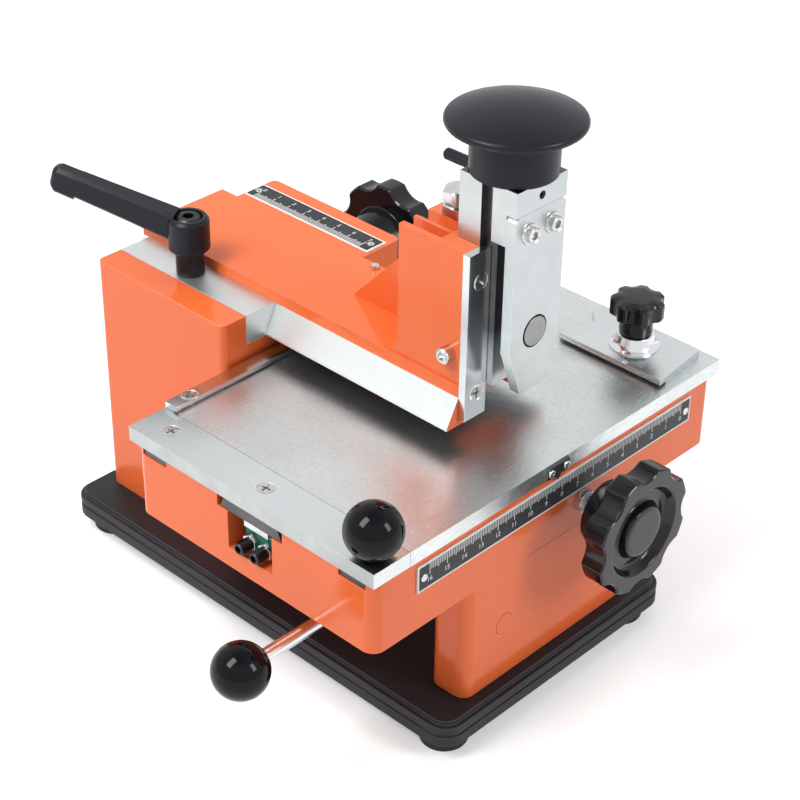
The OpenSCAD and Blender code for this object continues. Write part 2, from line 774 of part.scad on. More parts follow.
module column_gib() {
    color("silver") difference() {
        translate([arm_x, 0, 0]) along_y(col_y, col_d, gib_points);
        translate([lever_x, col_y + lever_y, gib_top - lever_stud_in - blind_gap])
            cylinder(h = lever_stud_in + cut + blind_gap, d = lever_stud_d + 2 * seat_gap);
    }
}

lever_h = lever_stem_h + lever_hub_h;
lever_head_d = lever_hub_d * 0.62;
lever_reach = lever_len / cos(lever_tilt);

// Section of the clamp lever's arm: a bar with cut corners, its height along X
function bar_section(w, h) = let (x = h / 2, y = w / 2, c = lever_edge)
    [[x, y - c], [x - c, y], [c - x, y], [-x, y - c], [-x, c - y], [c - x, -y], [x - c, -y], [x, c - y]];

// Arm of the clamp lever, tapered to a thicker end with a cut tip
module lever_arm() {
    rotate([0, 0, lever_angle]) translate([0, 0, lever_h - lever_arm_h / 2]) rotate([0, 90 - lever_tilt, 0]) {
        hull() {
            linear_extrude(height = cut) polygon(bar_section(lever_arm_w, lever_arm_h));
            translate([0, 0, lever_reach - cut]) linear_extrude(height = cut)
                polygon(bar_section(lever_end_w, lever_end_h));
        }
        hull() {
            translate([lever_nib, 0, lever_reach - lever_nib_l]) linear_extrude(height = lever_nib_l)
                polygon(bar_section(lever_end_w, lever_end_h));
            translate([0, 0, lever_reach + lever_edge]) linear_extrude(height = cut)
                polygon(bar_section(lever_end_w - 2 * lever_edge, lever_end_h - 2 * lever_edge));
        }
    }
}

module clamp_lever() {
    z0 = gib_top + hub_gap;
    color("black") translate([lever_x, col_y + lever_y, z0]) difference() {
        union() {
            cylinder(h = lever_stem_h + cut, d = lever_stem_d);
            translate([0, 0, lever_stem_h])
                cylinder(h = lever_edge, d1 = lever_hub_d - 2 * lever_edge, d2 = lever_hub_d);
            translate([0, 0, lever_stem_h + lever_edge])
                cylinder(h = lever_hub_h - 2 * lever_edge, d = lever_hub_d);
            translate([0, 0, lever_h - lever_edge])
                cylinder(h = lever_edge, d1 = lever_hub_d, d2 = lever_hub_d - 2 * lever_edge);
            lever_arm();
        }
        translate([0, 0, -cut]) cylinder(h = lever_h + 2 * cut, d = lever_stud_d + 2 * run_gap);
        translate([0, 0, lever_h - lever_head_h - hub_gap])
            cylinder(h = lever_len, d = lever_head_d + 4 * hub_gap);
    }
}

module lever_stud() {
    top = gib_top + hub_gap + lever_h;
    color("silver") translate([lever_x, col_y + lever_y, 0]) {
        translate([0, 0, gib_top - lever_stud_in])
            cylinder(h = top - lever_head_h - gib_top + lever_stud_in + cut, d = lever_stud_d);
        translate([0, 0, top - lever_head_h]) cylinder(h = lever_head_h, d = lever_head_d);
    }
}

front_scale_z = bed_top - front_scale_drop - scale_w;
module front_ruler() {
    color("white")
        span([front_scale_x - front_scale_len / 2, front_y - scale_t, front_scale_z],
            [front_scale_x + front_scale_len / 2, front_y, front_scale_z + scale_w]);
}

module top_ruler() {
    color("white")
        span([scale_x - scale_w / 2, col_mid - top_scale_len / 2, ridge_top],
            [scale_x + scale_w / 2, col_mid + top_scale_len / 2, ridge_top + scale_t]);
}

module ruler_screws() {
    color("silver") {
        for (x = [-1, 1])
            bar_y(front_scale_x + x * (front_scale_len / 2 - tiny_d), front_y - 2 * scale_t,
                front_scale_z + scale_w / 2, scale_t, tiny_d);
        for (y = [-1, 1])
            translate([scale_x, col_mid + y * (top_scale_len / 2 - tiny_d), ridge_top + scale_t])
                cylinder(h = scale_t, d = tiny_d);
    }
}

module shaft_bush() {
    color("silver") difference() {
        bar_y(wheel_x, front_y - bush_out, shaft_z, bush_out + bed_wall, bush_d);
        bar_y(wheel_x, front_y - bush_out - cut, shaft_z, bush_out + bed_wall + 2 * cut,
            shaft_d + 2 * run_gap);
    }
}

module arm_bush() {
    start = body_w / 2 - bed_wall;
    color("silver") difference() {
        bar_x(start, rear_y, rear_z, bush_out + bed_wall, bush_d);
        bar_x(start - cut, rear_y, rear_z, bush_out + bed_wall + 2 * cut, shaft_d + 2 * run_gap);
    }
}

block_bore_d = block_head_d * 0.6;
module feed_block() {
    color("seagreen") difference() {
        span([block_x, rail_y - feed_block_w / 2, channel_z],
            [block_x + feed_block_l, rail_y + feed_block_w / 2, channel_z + feed_block_h]);
        for (y = [-1, 1])
            bar_x(block_x - cut, rail_y + y * block_screw_gap / 2, block_screw_z,
                feed_block_l * 0.7 + cut, block_bore_d + 2 * seat_gap);
    }
}

module block_screws() {
    head_x = block_x - block_nut_t - block_head_l;
    color("black")
        for (y = [-1, 1]) {
            bar_x(head_x, rail_y + y * block_screw_gap / 2, block_screw_z, block_head_l, block_head_d);
            bar_x(head_x + cut, rail_y + y * block_screw_gap / 2, block_screw_z,
                block_head_l + block_nut_t + feed_block_l * 0.6 - cut, block_bore_d);
        }
}

module block_nuts() {
    color("silver")
        for (y = [-1, 1]) difference() {
            translate([block_x - block_nut_t, rail_y + y * block_screw_gap / 2, block_screw_z])
                rotate([0, 90, 0]) cylinder(h = block_nut_t, d = block_head_d * 1.15, $fn = 6);
            bar_x(block_x - block_nut_t - cut, rail_y + y * block_screw_gap / 2, block_screw_z,
                block_nut_t + 2 * cut, block_bore_d + 2 * seat_gap);
        }
}

module feed_pivot() {
    low = bed_z - 2 * feed_drop - pivot_head_h;
    color("silver") translate([pivot_x, pivot_y, low]) {
        cylinder(h = bed_z + bed_floor - low, d = feed_pin_d);
        cylinder(h = pivot_head_h, d = feed_pin_d * 1.7);
    }
}

// Countersunk screw with its head flush at z = 0 and its shank downward, or its hole when widened by a gap
screw_sink = screw_d * 0.25;
screw_shank_d = screw_d * 0.55;
module screw(l, gap) {
    translate([0, 0, -screw_sink])
        cylinder(h = screw_sink, d1 = screw_shank_d + 2 * gap, d2 = screw_d + 2 * gap);
    translate([0, 0, -l]) cylinder(h = l - screw_sink / 2, d = screw_shank_d + 2 * gap);
}

// Places of the table's screws: two in the strip, two in each runner and two in the fence
strip_mid = table_x + strip_w / 2;
fence_x = table_x + strip_w + slide_gap;
fence_mid = table_back - fence_w / 2;
fence_z = table_top + fence_t;
strip_spots = [[strip_mid, rail_y], [strip_mid, runner_rear]];
fence_spots = [[fence_x + fence_w * 1.5, fence_mid], [fence_x + fence_len - fence_w * 1.5, fence_mid]];
fence_screw_l = fence_t + table_t * 0.7;
strip_screw_l = table_t + runner_h * 0.6;

module table_holes(gap) {
    for (p = strip_spots) translate([p[0], p[1], table_top]) screw(strip_screw_l + gap, gap);
    for (p = fence_spots) translate([p[0], p[1], fence_z]) screw(fence_screw_l + gap, gap);
}

ball_x = table_x + ball_inset;
ball_y = table_front + ball_inset;
ball_flat = ball_d * 0.012;
ball_z = table_top + ball_d / 2 - ball_flat;
ball_bore_l = ball_d * 0.45;

module table_plate() {
    color("lightgray") difference() {
        span([table_x + strip_w + slide_gap, table_front, table_z],
            [table_x + table_len, table_back, table_top]);
        table_holes(seat_gap);
        translate([knob_x, stud_y, table_z - cut])
            cylinder(h = table_t + 2 * cut, d = knob_stud_d + 2 * seat_gap);
        for (x = [-1, 1])
            bar_y(pointer_x + x * pointer_screw_gap / 2, table_front - cut, pointer_mid, pointer_bite + cut,
                tiny_d * 0.6 + 2 * seat_gap);
    }
}

module table_strip() {
    color("lightgray") difference() {
        span([table_x, table_front, table_z], [table_x + strip_w, table_back, table_top]);
        table_holes(seat_gap);
        translate([ball_x, ball_y, table_z - cut])
            cylinder(h = table_t + 2 * cut, d = ball_stud_d + 2 * seat_gap);
    }
}

module table_rail() {
    color("dimgray") difference() {
        along_x(table_x + cut, table_len - 2 * cut, rail_points(0, 0, rail_h));
        table_holes(seat_gap);
    }
}

module table_runners() {
    color("dimgray") difference() {
        for (y = [runner_front, runner_rear])
            span([table_x + cut, y - runner_w / 2, runner_z],
                [table_x + table_len - cut, y + runner_w / 2, table_z]);
        table_holes(seat_gap);
        translate([ball_x, ball_y, runner_z - cut]) cylinder(h = runner_h + 2 * cut, d = ball_stud_d + 1);
    }
}

rack_x = table_x + rack_in;
module table_rack() {
    color("silver") translate([wheel_x, rail_y + rack_w / 2, shaft_z + pitch_r]) rotate([90, 0, 0])
        linear_extrude(height = rack_w)
            polygon(rack_points(rack_x - wheel_x, rack_x + table_rack_len - wheel_x,
                rail_z - shaft_z - pitch_r));
}

module fence_bar() {
    color("silver") difference() {
        span([fence_x, table_back - fence_w, table_top], [fence_x + fence_len, table_back, fence_z]);
        span([fence_x - cut, table_back - fence_w - cut, table_top - cut],
            [fence_x + fence_len + cut, table_back - fence_w * 0.7, table_top + fence_lip]);
        table_holes(seat_gap);
    }
}

module table_screws() {
    color("dimgray") table_holes(0);
}

// Ball knob with its flat and bore at the foot, centred on the origin
module ball() {
    difference() {
        sphere(d = ball_d);
        translate([-ball_d, -ball_d, -2 * ball_d - ball_d / 2 + ball_flat]) cube(2 * ball_d);
        translate([0, 0, -ball_d / 2]) cylinder(h = ball_bore_l, d = ball_stud_d + 2 * seat_gap);
    }
}

module table_ball() {
    color("black") translate([ball_x, ball_y, ball_z]) ball();
}

module ball_stud() {
    color("silver") translate([ball_x, ball_y, table_z])
        cylinder(h = table_t + ball_bore_l * 0.9, d = ball_stud_d);
}

pointer_mid = table_z + table_t * 0.48;
module pointer() {
    low = table_z + pointer_tip / 4;
    half = pointer_w / 2;
    color("silver") difference() {
        along_y(table_front - pointer_t, pointer_t, [[pointer_x - half, low], [pointer_x - pointer_half, low],
            [pointer_x, table_z - pointer_tip], [pointer_x + pointer_half, low], [pointer_x + half, low],
            [pointer_x + half, table_top - pointer_t], [pointer_x - half, table_top - pointer_t]]);
        for (x = [-1, 1])
            bar_y(pointer_x + x * pointer_screw_gap / 2, table_front - pointer_t - cut, pointer_mid,
                pointer_t + 2 * cut, tiny_d * 0.6 + 2 * seat_gap);
    }
}

module pointer_screws() {
    color("dimgray")
        for (x = [-1, 1]) {
            bar_y(pointer_x + x * pointer_screw_gap / 2, table_front - pointer_t - pointer_head_h, pointer_mid,
                pointer_head_h, tiny_d);
            bar_y(pointer_x + x * pointer_screw_gap / 2, table_front - pointer_t - cut, pointer_mid,
                pointer_t + pointer_bite - blind_gap, tiny_d * 0.6);
        }
}

knob_bore = knob_neck_h + knob_h * 0.6;
module knob_stud() {
    color("silver") translate([knob_x, stud_y, table_z])
        cylinder(h = washer_top - table_z + hub_gap + knob_bore - 2 * blind_gap, d = knob_stud_d);
}

// Outline of the clamp plate round its stud, with the notch at its back
clamp_points = [[-clamp_left, -clamp_front], [clamp_right, -clamp_front * 0.86], [clamp_right, clamp_back],
    [clamp_right * 0.58, clamp_back], [clamp_right * 0.2, clamp_back * 0.78],
    [-clamp_left * 0.6, clamp_back * 1.08], [-clamp_left, clamp_back * 0.92]];
module clamp_plate() {
    color("silver") translate([knob_x, stud_y, table_top]) difference() {
        linear_extrude(height = clamp_t) polygon(clamp_points);
        translate([0, 0, -cut]) cylinder(h = clamp_t + 2 * cut, d = knob_stud_d + 2 * run_gap);
        span([-clamp_left - cut, -clamp_front - cut, -cut],
            [-clamp_left + relief_w, clamp_back * 2, relief_h]);
    }
}

module cup_washer() {
    color("silver") translate([knob_x, stud_y, clamp_top]) difference() {
        cylinder(h = washer_h, d1 = washer_d, d2 = knob_neck_d + 4 * slot_gap);
        translate([0, 0, -cut]) cylinder(h = washer_h + 2 * cut, d = knob_stud_d + 2 * slot_gap);
    }
}

module clamp_knob() {
    color("black") translate([knob_x, stud_y, washer_top + hub_gap]) difference() {
        union() {
            cylinder(h = knob_neck_h + cut, d = knob_neck_d);
            translate([0, 0, knob_neck_h]) lobed(knob_d, knob_h, knob_lobes, knob_d * 0.07);
        }
        translate([0, 0, -cut]) cylinder(h = knob_bore + cut, d = knob_stud_d + 2 * run_gap);
    }
}

// Handwheel with its boss foot at z = 0 and its dished face outward
wheel_l = wheel_boss_l + wheel_t;
wheel_bore = wheel_l - wheel_cap;
dish_out = wheel_d / 2 - lobe_depth - wheel_rim;
dish_in = shaft_d / 2 + wheel_hub;
dish_depth = wheel_t * 0.36;
module wheel() {
    difference() {
        union() {
            cylinder(h = wheel_boss_l + cut, d1 = wheel_foot_d, d2 = wheel_boss_d);
            translate([0, 0, wheel_boss_l]) lobed(wheel_d, wheel_t, wheel_lobes, lobe_depth);
        }
        translate([0, 0, wheel_l - dish_depth]) difference() {
            cylinder(h = dish_depth + cut, r1 = dish_out - dish_slope, r2 = dish_out);
            translate([0, 0, -cut]) cylinder(h = dish_depth + 3 * cut, r = dish_in);
        }
        translate([0, 0, -cut]) cylinder(h = wheel_bore + cut, d = shaft_d + 2 * seat_gap);
    }
}

wheel_foot = front_y - wheel_reach;
wheel_shaft_end = rail_y + channel_w / 2 + shaft_past;
module handwheel() {
    color("black") translate([wheel_x, wheel_foot, shaft_z]) rotate([90, 0, 0]) wheel();
}

module wheel_shaft() {
    start = wheel_foot - wheel_bore + blind_gap;
    color("silver") bar_y(wheel_x, start, shaft_z, wheel_shaft_end - start, shaft_d);
}

module table_pinion() {
    color("goldenrod") translate([wheel_x, rail_y, shaft_z]) rotate([90, -90, 0]) pinion();
}

rear_foot = body_w / 2 + rear_reach;
module rear_wheel() {
    color("black") translate([rear_foot, rear_y, rear_z]) rotate([0, 90, 0])
        rotate([0, 0, 180 / wheel_lobes]) wheel();
}

module arm_shaft() {
    long = rear_foot + wheel_bore - blind_gap - shaft_left;
    color("silver") bar_x(shaft_left, rear_y, rear_z, long, shaft_d);
}

module arm_pinion() {
    color("goldenrod") translate([arm_x, rear_y, rear_z]) rotate([0, 90, 0]) rotate([0, 0, 180]) pinion();
}

arm_rack_low = rear_y - arm_travel - 3 * pitch;
arm_rack_high = rear_y + 3 * pitch;
module arm_rack() {
    color("silver") translate([arm_x - rack_w / 2, rear_y, rear_z + pitch_r]) rotate([90, 0, 90])
        linear_extrude(height = rack_w)
            polygon(rack_points(arm_rack_low - rear_y, arm_rack_high - rear_y,
                arm_rack_back - rear_z - pitch_r));
}

strip_screw_x = arm_w / 2 - guide_w * 0.56;
strip_screw_low = arm_z + dove_h + strip_rise;
strip_screw_high = head_top - strip_drop;
module strip_holes(gap) {
    for (x = [-1, 1], z = [strip_screw_low, strip_screw_high])
        translate([arm_x + x * strip_screw_x, guide_front, z]) rotate([90, 0, 0])
            screw(guide_t + strip_bite + gap, gap);
}

index_x = arm_x + arm_w / 2 - tiny_d;
index_y = col_y - index_in;
module arm_head() {
    half = arm_w / 2;
    wall = half - wall_inset;
    dove = [[-dove_half, arm_z], [dove_half, arm_z], [dove_half, arm_z + dove_land], [half, lip_z],
        [half, arm_top], [-half, arm_top], [-half, lip_z], [-dove_half, arm_z + dove_land]];
    web_top = head_top - boss_h * 0.72;
    web = [[house_back - cut, arm_top - cut], [rib_back + web_reach, arm_top - cut],
        [rib_back + web_reach, arm_top], [rib_back, web_top], [rib_back, head_top],
        [house_back - cut, head_top]];
    color("orangered") difference() {
        union() {
            translate([arm_x, 0, 0]) along_y(head_front, arm_len, dove);
            span([arm_x - wall, head_front, arm_top - cut], [arm_x + wall, house_back, head_top]);
            for (s = [-1, 1]) {
                outer = arm_x + s * (wall - wall_t / 2);
                inner = arm_x + s * (wall - wall_t - pocket_w - rib_t / 2);
                span([outer - wall_t / 2, house_back - cut, arm_top - cut],
                    [outer + wall_t / 2, rib_back, head_top]);
                span([inner - rib_t / 2, house_back - cut, arm_top - cut],
                    [inner + rib_t / 2, rib_back, head_top]);
                difference() {
                    span([outer - wall_t / 2, rib_back - cut, arm_top - cut],
                        [outer + wall_t / 2, rib_back + wall_fillet, arm_top + wall_fillet]);
                    bar_x(outer - wall_t, rib_back + wall_fillet, arm_top + wall_fillet, 2 * wall_t,
                        2 * wall_fillet);
                }
            }
            along_x(arm_x - web_t / 2, web_t, web);
            span([arm_x - boss_w / 2, house_back - cut, head_top - boss_h],
                [arm_x + boss_w / 2, rib_back, head_top]);
        }
        span([arm_x - ram_w / 2 - slide_gap, head_front - cut, arm_z - cut],
            [arm_x + ram_w / 2 + slide_gap, ram_rear + slide_gap, head_top + cut]);
        span([arm_x - rack_w / 2 - seat_gap, arm_rack_low - seat_gap, arm_z - cut],
            [arm_x + rack_w / 2 + seat_gap, head_front + arm_len + cut, arm_rack_back]);
        strip_holes(seat_gap);
        translate([arm_x, bolt_y, head_top - boss_h + stop_floor])
            cylinder(h = boss_h, d = stop_d + 2 * seat_gap);
        bar_x(arm_x - wall - cut, cross_y, cross_z, 2 * wall + 2 * cut, cross_d + 2 * seat_gap);
        translate([index_x, index_y, arm_top - index_bite - slide_gap])
            cylinder(h = index_bite + slide_gap + cut, d = tiny_d * 0.6 + 2 * seat_gap);
    }
}

module guide_strips() {
    color("silver") difference() {
        for (s = [-1, 1])
            translate([arm_x + s * (arm_w / 2 - guide_w / 2), 0, 0])
                span([-guide_w / 2, guide_front, table_top + guide_rise],
                    [guide_w / 2, head_front, head_top]);
        strip_holes(seat_gap);
    }
}

module strip_screws() {
    color("dimgray") strip_holes(0);
}

module index_screw() {
    color("black") translate([index_x, index_y, arm_top]) {
        cylinder(h = tiny_d * 0.6, d = tiny_d);
        translate([0, 0, -index_bite]) cylinder(h = index_bite + cut, d = tiny_d * 0.6);
    }
}

module stop_bolt() {
    low = head_top - boss_h + stop_floor + blind_gap;
    color("silver") translate([arm_x, bolt_y, 0]) {
        translate([0, 0, low]) cylinder(h = bolt_top - stop_head + cut - low, d = stop_d);
        translate([0, 0, bolt_top - stop_head]) cylinder(h = stop_head, d = stop_af / cos(30), $fn = 6);
    }
}

module stop_nut() {
    color("silver") translate([arm_x, bolt_y, head_top]) difference() {
        cylinder(h = stop_nut_h, d = stop_af / cos(30), $fn = 6);
        translate([0, 0, -cut]) cylinder(h = stop_nut_h + 2 * cut, d = stop_d + 2 * seat_gap);
    }
}

cross_wall = arm_w / 2 - wall_inset;
module cross_screw() {
    start = arm_x - cross_wall - cross_head_l;
    color("silver") {
        bar_x(start, cross_y, cross_z, cross_head_l, cross_d * 1.4);
        bar_x(start + cut, cross_y, cross_z, arm_x + cross_wall + cross_nut_t - start - cut, cross_d);
    }
}

module cross_nut() {
    color("silver") difference() {
        translate([arm_x + cross_wall, cross_y, cross_z]) rotate([0, 90, 0])
            cylinder(h = cross_nut_t, d = cross_d * 1.9, $fn = 6);
        bar_x(arm_x + cross_wall - cut, cross_y, cross_z, cross_nut_t + 2 * cut,
            cross_d + 2 * seat_gap);
    }
}

plate_low = ram_z - plate_hang;
plate_top = plate_low + plate_h;
plate_screw_x = ram_w * 0.23;
plate_screw_z = plate_top - plate_screw_drop;
ram_block_z = ram_top - block_h;
module plate_holes(gap) {
    for (x = [-1, 1])
        bar_y(arm_x + x * plate_screw_x, ram_nose - cut, plate_screw_z, plate_t + plate_bite + cut + gap,
            plate_head_d * 0.6 + 2 * gap);
}

set_z = ram_top - set_drop;
module ram() {
    half = ram_w / 2;
    color("silver") difference() {
        union() {
            span([arm_x - half, head_front + slide_gap, ram_z], [arm_x + half, ram_rear, ram_top]);
            span([arm_x - web_half, web_front, ram_z], [arm_x + web_half, head_front + cut, ram_top]);
            span([arm_x - half, ram_nose, ram_block_z], [arm_x + half, guide_front - nose_gap, ram_top]);
            translate([arm_x, ram_mid, ram_top - cut]) cylinder(h = stud_h + cut, d = palm_stud_d);
        }
        span([arm_x - ram_w, ram_nose - cut, ram_block_z - cut],
            [arm_x + ram_w, ram_nose + plate_t, plate_top + slide_gap]);
        plate_holes(seat_gap);
        for (z = [cross_z, cross_z + ram_travel])
            bar_x(arm_x - ram_w, cross_y, z, 2 * ram_w, cross_d + 2 * slot_gap);
        span([arm_x - ram_w, cross_y - cross_d / 2 - slot_gap, cross_z],
            [arm_x + ram_w, cross_y + cross_d / 2 + slot_gap, cross_z + ram_travel]);
        translate([arm_x, cross_y, cross_z]) cylinder(h = spring_top - cross_z, d = spring_d + 2 * slot_gap);
        bar_y(arm_x, ram_rear - peg_in - blind_gap, peg_z, peg_in + blind_gap + cut, peg_d + 2 * seat_gap);
        bar_y(arm_x, ram_nose - cut, set_z, set_l + 2 * blind_gap + cut, tiny_d + 2 * seat_gap);
    }
}

module ram_set_screw() {
    color("black") bar_y(arm_x, ram_nose + blind_gap, set_z, set_l, tiny_d);
}

module front_plate() {
    half = ram_w / 2;
    tip = plate_tip / 2;
    color("silver") difference() {
        along_y(ram_nose, plate_t, [[arm_x - tip, plate_low], [arm_x + tip, plate_low],
            [arm_x + half, plate_low + plate_taper], [arm_x + half, plate_top - plate_corner],
            [arm_x + half - plate_corner, plate_top], [arm_x - half + plate_corner, plate_top],
            [arm_x - half, plate_top - plate_corner], [arm_x - half, plate_low + plate_taper]]);
        plate_holes(seat_gap);
        bar_y(arm_x, ram_nose - cut, plate_low + magnet_rise, magnet_t - magnet_out + cut,
            magnet_d + 2 * seat_gap);
    }
}

module plate_screws() {
    color("silver") {
        plate_holes(0);
        for (x = [-1, 1]) {
            bar_y(arm_x + x * plate_screw_x, ram_nose - plate_washer_t, plate_screw_z, plate_washer_t,
                plate_washer_d);
            bar_y(arm_x + x * plate_screw_x, ram_nose - plate_washer_t - plate_head_h, plate_screw_z,
                plate_head_h, plate_head_d);
        }
    }
}

module disc_magnet() {
    color("silver") bar_y(arm_x, ram_nose - magnet_out, plate_low + magnet_rise, magnet_t, magnet_d);
}

module palm_knob() {
    neck_h = palm_h - palm_rim - palm_dome;
    rim_r = palm_rim / 2;
    edge = [for (a = [-90 : 30 : 60]) [palm_d / 2 - rim_r + rim_r * cos(a), neck_h + rim_r + rim_r * sin(a)]];
    edge_r = edge[len(edge) - 1][0];
    rise = palm_h - edge[len(edge) - 1][1];
    dome_r = (edge_r * edge_r + rise * rise) / (2 * rise);
    flare = [for (a = [0 : 30 : 90])
        [palm_neck_d / 2 + palm_flare * (1 - cos(a)), neck_h - palm_flare * (1 - sin(a))]];
    dome = [for (i = [1 : palm_steps])
        let (r = edge_r * (1 - i / palm_steps)) [r, palm_h - dome_r + sqrt(dome_r * dome_r - r * r)]];
    color("black") translate([arm_x, ram_mid, ram_top]) difference() {
        rotate_extrude($fn = 96) polygon(concat([[0, 0], [palm_neck_d / 2, 0]], flare, edge, dome));
        translate([0, 0, -cut]) cylinder(h = stud_h + cut + 2 * blind_gap, d = palm_stud_d + 2 * seat_gap);
    }
}

module stop_peg() {
    l = bolt_y + peg_over - ram_rear + peg_in;
    color("black") translate([arm_x, ram_rear - peg_in, peg_z]) rotate([-90, 0, 0]) {
        cylinder(h = l - peg_tip, d = peg_d);
        translate([0, 0, l - peg_tip]) cylinder(h = peg_tip, d1 = peg_d, d2 = peg_d - 2 * peg_tip);
    }
}

// Return spring: one tube of wire along a helix between two flat ends
spring_rings = 8 * spring_turns;
spring_sides = 6;
spring_r = (spring_d - spring_wire) / 2;
function coil(i) = [spring_r * cos(45 * i), spring_r * sin(45 * i),
    spring_wire / 2 + i / spring_rings * (spring_len - spring_wire)];
spring_gap = min([for (i = [0 : spring_rings - 9], j = [6 : 10])
    norm(coil(i) - coil(min(i + j, spring_rings)))])
    - spring_wire;
module ram_spring() {
    echo(spring_gap = spring_gap);
    points = [for (i = [0 : spring_rings], s = [0 : spring_sides - 1])
        let (a = s * 360 / spring_sides, r = spring_r + spring_wire / 2 * cos(a))
        [r * cos(45 * i), r * sin(45 * i), coil(i)[2] + spring_wire / 2 * sin(a)]];
    sides = [for (i = [0 : spring_rings - 1], s = [0 : spring_sides - 1], k = [0, 1])
        let (n = (s + 1) % spring_sides, a = i * spring_sides, b = a + spring_sides)
        k == 0 ? [a + s, a + n, b + n] : [a + s, b + n, b + s]];
    last = spring_rings * spring_sides;
    ends = [[for (s = [0 : spring_sides - 1]) spring_sides - 1 - s],
        [for (s = [0 : spring_sides - 1]) last + s]];
    color("silver") translate([arm_x, cross_y, spring_z]) polyhedron(points, concat(sides, ends));
}

feed_rod_end = feed_len - ball_d / 2 + ball_bore_l * 0.9;
module feed_lever() {
    color("silver") translate([pivot_x, pivot_y, feed_z]) difference() {
        union() {
            cylinder(h = 2 * hub_half, d = feed_hub_d, center = true);
            bar_x(-feed_rod_end, 0, 0, feed_rod_end, feed_rod_d);
        }
        cylinder(h = 4 * feed_drop, d = feed_pin_d + 2 * run_gap, center = true);
    }
}

module lever_ball() {
    color("black") translate([pivot_x - feed_len, pivot_y, feed_z]) rotate([0, -90, 0]) ball();
}

base_plate();
rubber_feet();
pedestal();
leg_plug();
bed();
column();
column_gib();
clamp_lever();
lever_stud();
front_ruler();
top_ruler();
ruler_screws();
shaft_bush();
arm_bush();
feed_block();
block_screws();
block_nuts();
feed_pivot();
table_plate();
table_strip();
table_rail();
table_runners();
table_rack();
fence_bar();
table_screws();
table_ball();
ball_stud();
pointer();
pointer_screws();
knob_stud();
clamp_plate();
cup_washer();
clamp_knob();
handwheel();
wheel_shaft();
table_pinion();
rear_wheel();
arm_shaft();
arm_pinion();
arm_rack();
arm_head();
guide_strips();
strip_screws();
index_screw();
stop_bolt();
stop_nut();
cross_screw();
cross_nut();
ram();
front_plate();
plate_screws();
disc_magnet();
palm_knob();
ram_set_screw();
stop_peg();
ram_spring();
feed_lever();
lever_ball();
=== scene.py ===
import json
import math

import bmesh
import bpy
from mathutils import Matrix, Vector


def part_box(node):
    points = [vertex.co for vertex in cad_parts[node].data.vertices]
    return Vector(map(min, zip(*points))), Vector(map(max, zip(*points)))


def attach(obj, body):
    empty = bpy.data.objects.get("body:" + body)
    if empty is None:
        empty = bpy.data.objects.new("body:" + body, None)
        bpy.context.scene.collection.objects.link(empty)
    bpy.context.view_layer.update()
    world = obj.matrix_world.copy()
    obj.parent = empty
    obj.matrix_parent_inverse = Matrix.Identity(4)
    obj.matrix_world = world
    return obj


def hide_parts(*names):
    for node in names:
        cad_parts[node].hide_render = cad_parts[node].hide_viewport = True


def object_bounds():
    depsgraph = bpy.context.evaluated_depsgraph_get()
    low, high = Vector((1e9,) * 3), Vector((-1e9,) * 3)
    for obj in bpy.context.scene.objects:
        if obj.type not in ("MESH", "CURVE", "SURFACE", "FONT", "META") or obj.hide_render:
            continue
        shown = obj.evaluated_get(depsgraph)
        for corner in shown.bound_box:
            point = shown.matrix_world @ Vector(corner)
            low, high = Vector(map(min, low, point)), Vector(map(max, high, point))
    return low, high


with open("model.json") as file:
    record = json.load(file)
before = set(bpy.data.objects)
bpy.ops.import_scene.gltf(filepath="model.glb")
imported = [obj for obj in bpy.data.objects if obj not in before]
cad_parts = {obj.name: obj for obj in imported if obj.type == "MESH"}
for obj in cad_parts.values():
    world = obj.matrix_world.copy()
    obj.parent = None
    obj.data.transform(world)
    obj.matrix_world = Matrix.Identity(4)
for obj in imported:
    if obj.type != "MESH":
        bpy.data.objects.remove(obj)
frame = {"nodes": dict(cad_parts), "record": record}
cad_low, cad_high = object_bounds()
NODES = frame["nodes"]
BODY_OF = {n: body for body, names in frame["record"]["behaviour"]["bodies"].items() for n in names}
MM = 0.001
RIGHT, BACK, UP = (1, 0, 0), (0, 1, 0), (0, 0, 1)
LEFT, FRONT, DOWN = (-1, 0, 0), (0, -1, 0), (0, 0, -1)

# Camera, floor and lights

CAMERA_PLACE = Vector((-0.54635, -0.53923, 0.58401))
CAMERA_AZIMUTH = math.radians(-46.66)
CAMERA_HEIGHT = math.radians(33.01)
CAMERA_ROLL = math.radians(0.93)
CAMERA_LENS = 91.95
CAMERA_SENSOR = 36.0
CAMERA_NEAR = 0.01
WHITE = (1, 1, 1, 1)
FLOOR_COLOUR = (0.83, 0.83, 0.84, 1.0)
FLOOR_REACH = 6.0
FLOOR_GLOW = {"From Min": 0.4, "From Max": 1.8, "To Min": 0.34, "To Max": 0.85}
WORLD_COLOUR = (0.92, 0.94, 0.96, 1.0)
WORLD_STRENGTH = 0.3
CEILING_COLOUR = (0.5, 0.51, 0.53, 1.0)
CEILING_HEIGHTS = {"From Min": 0.75, "From Max": 0.98}
LIGHTS_AIM = Vector((0, 0, 0.1))
LIGHTS = (  # name, place, size, power, shown by mirror-like surfaces
    ("key_window", (-0.75, 0.15, 1.05), (0.42, 0.72), 12.0, True),
    ("front_window", (0.25, -1.05, 0.75), (0.32, 0.56), 5.4, True),
    ("top_panel", (0.15, 0.35, 1.25), (1.8, 1.6), 10.0, False))


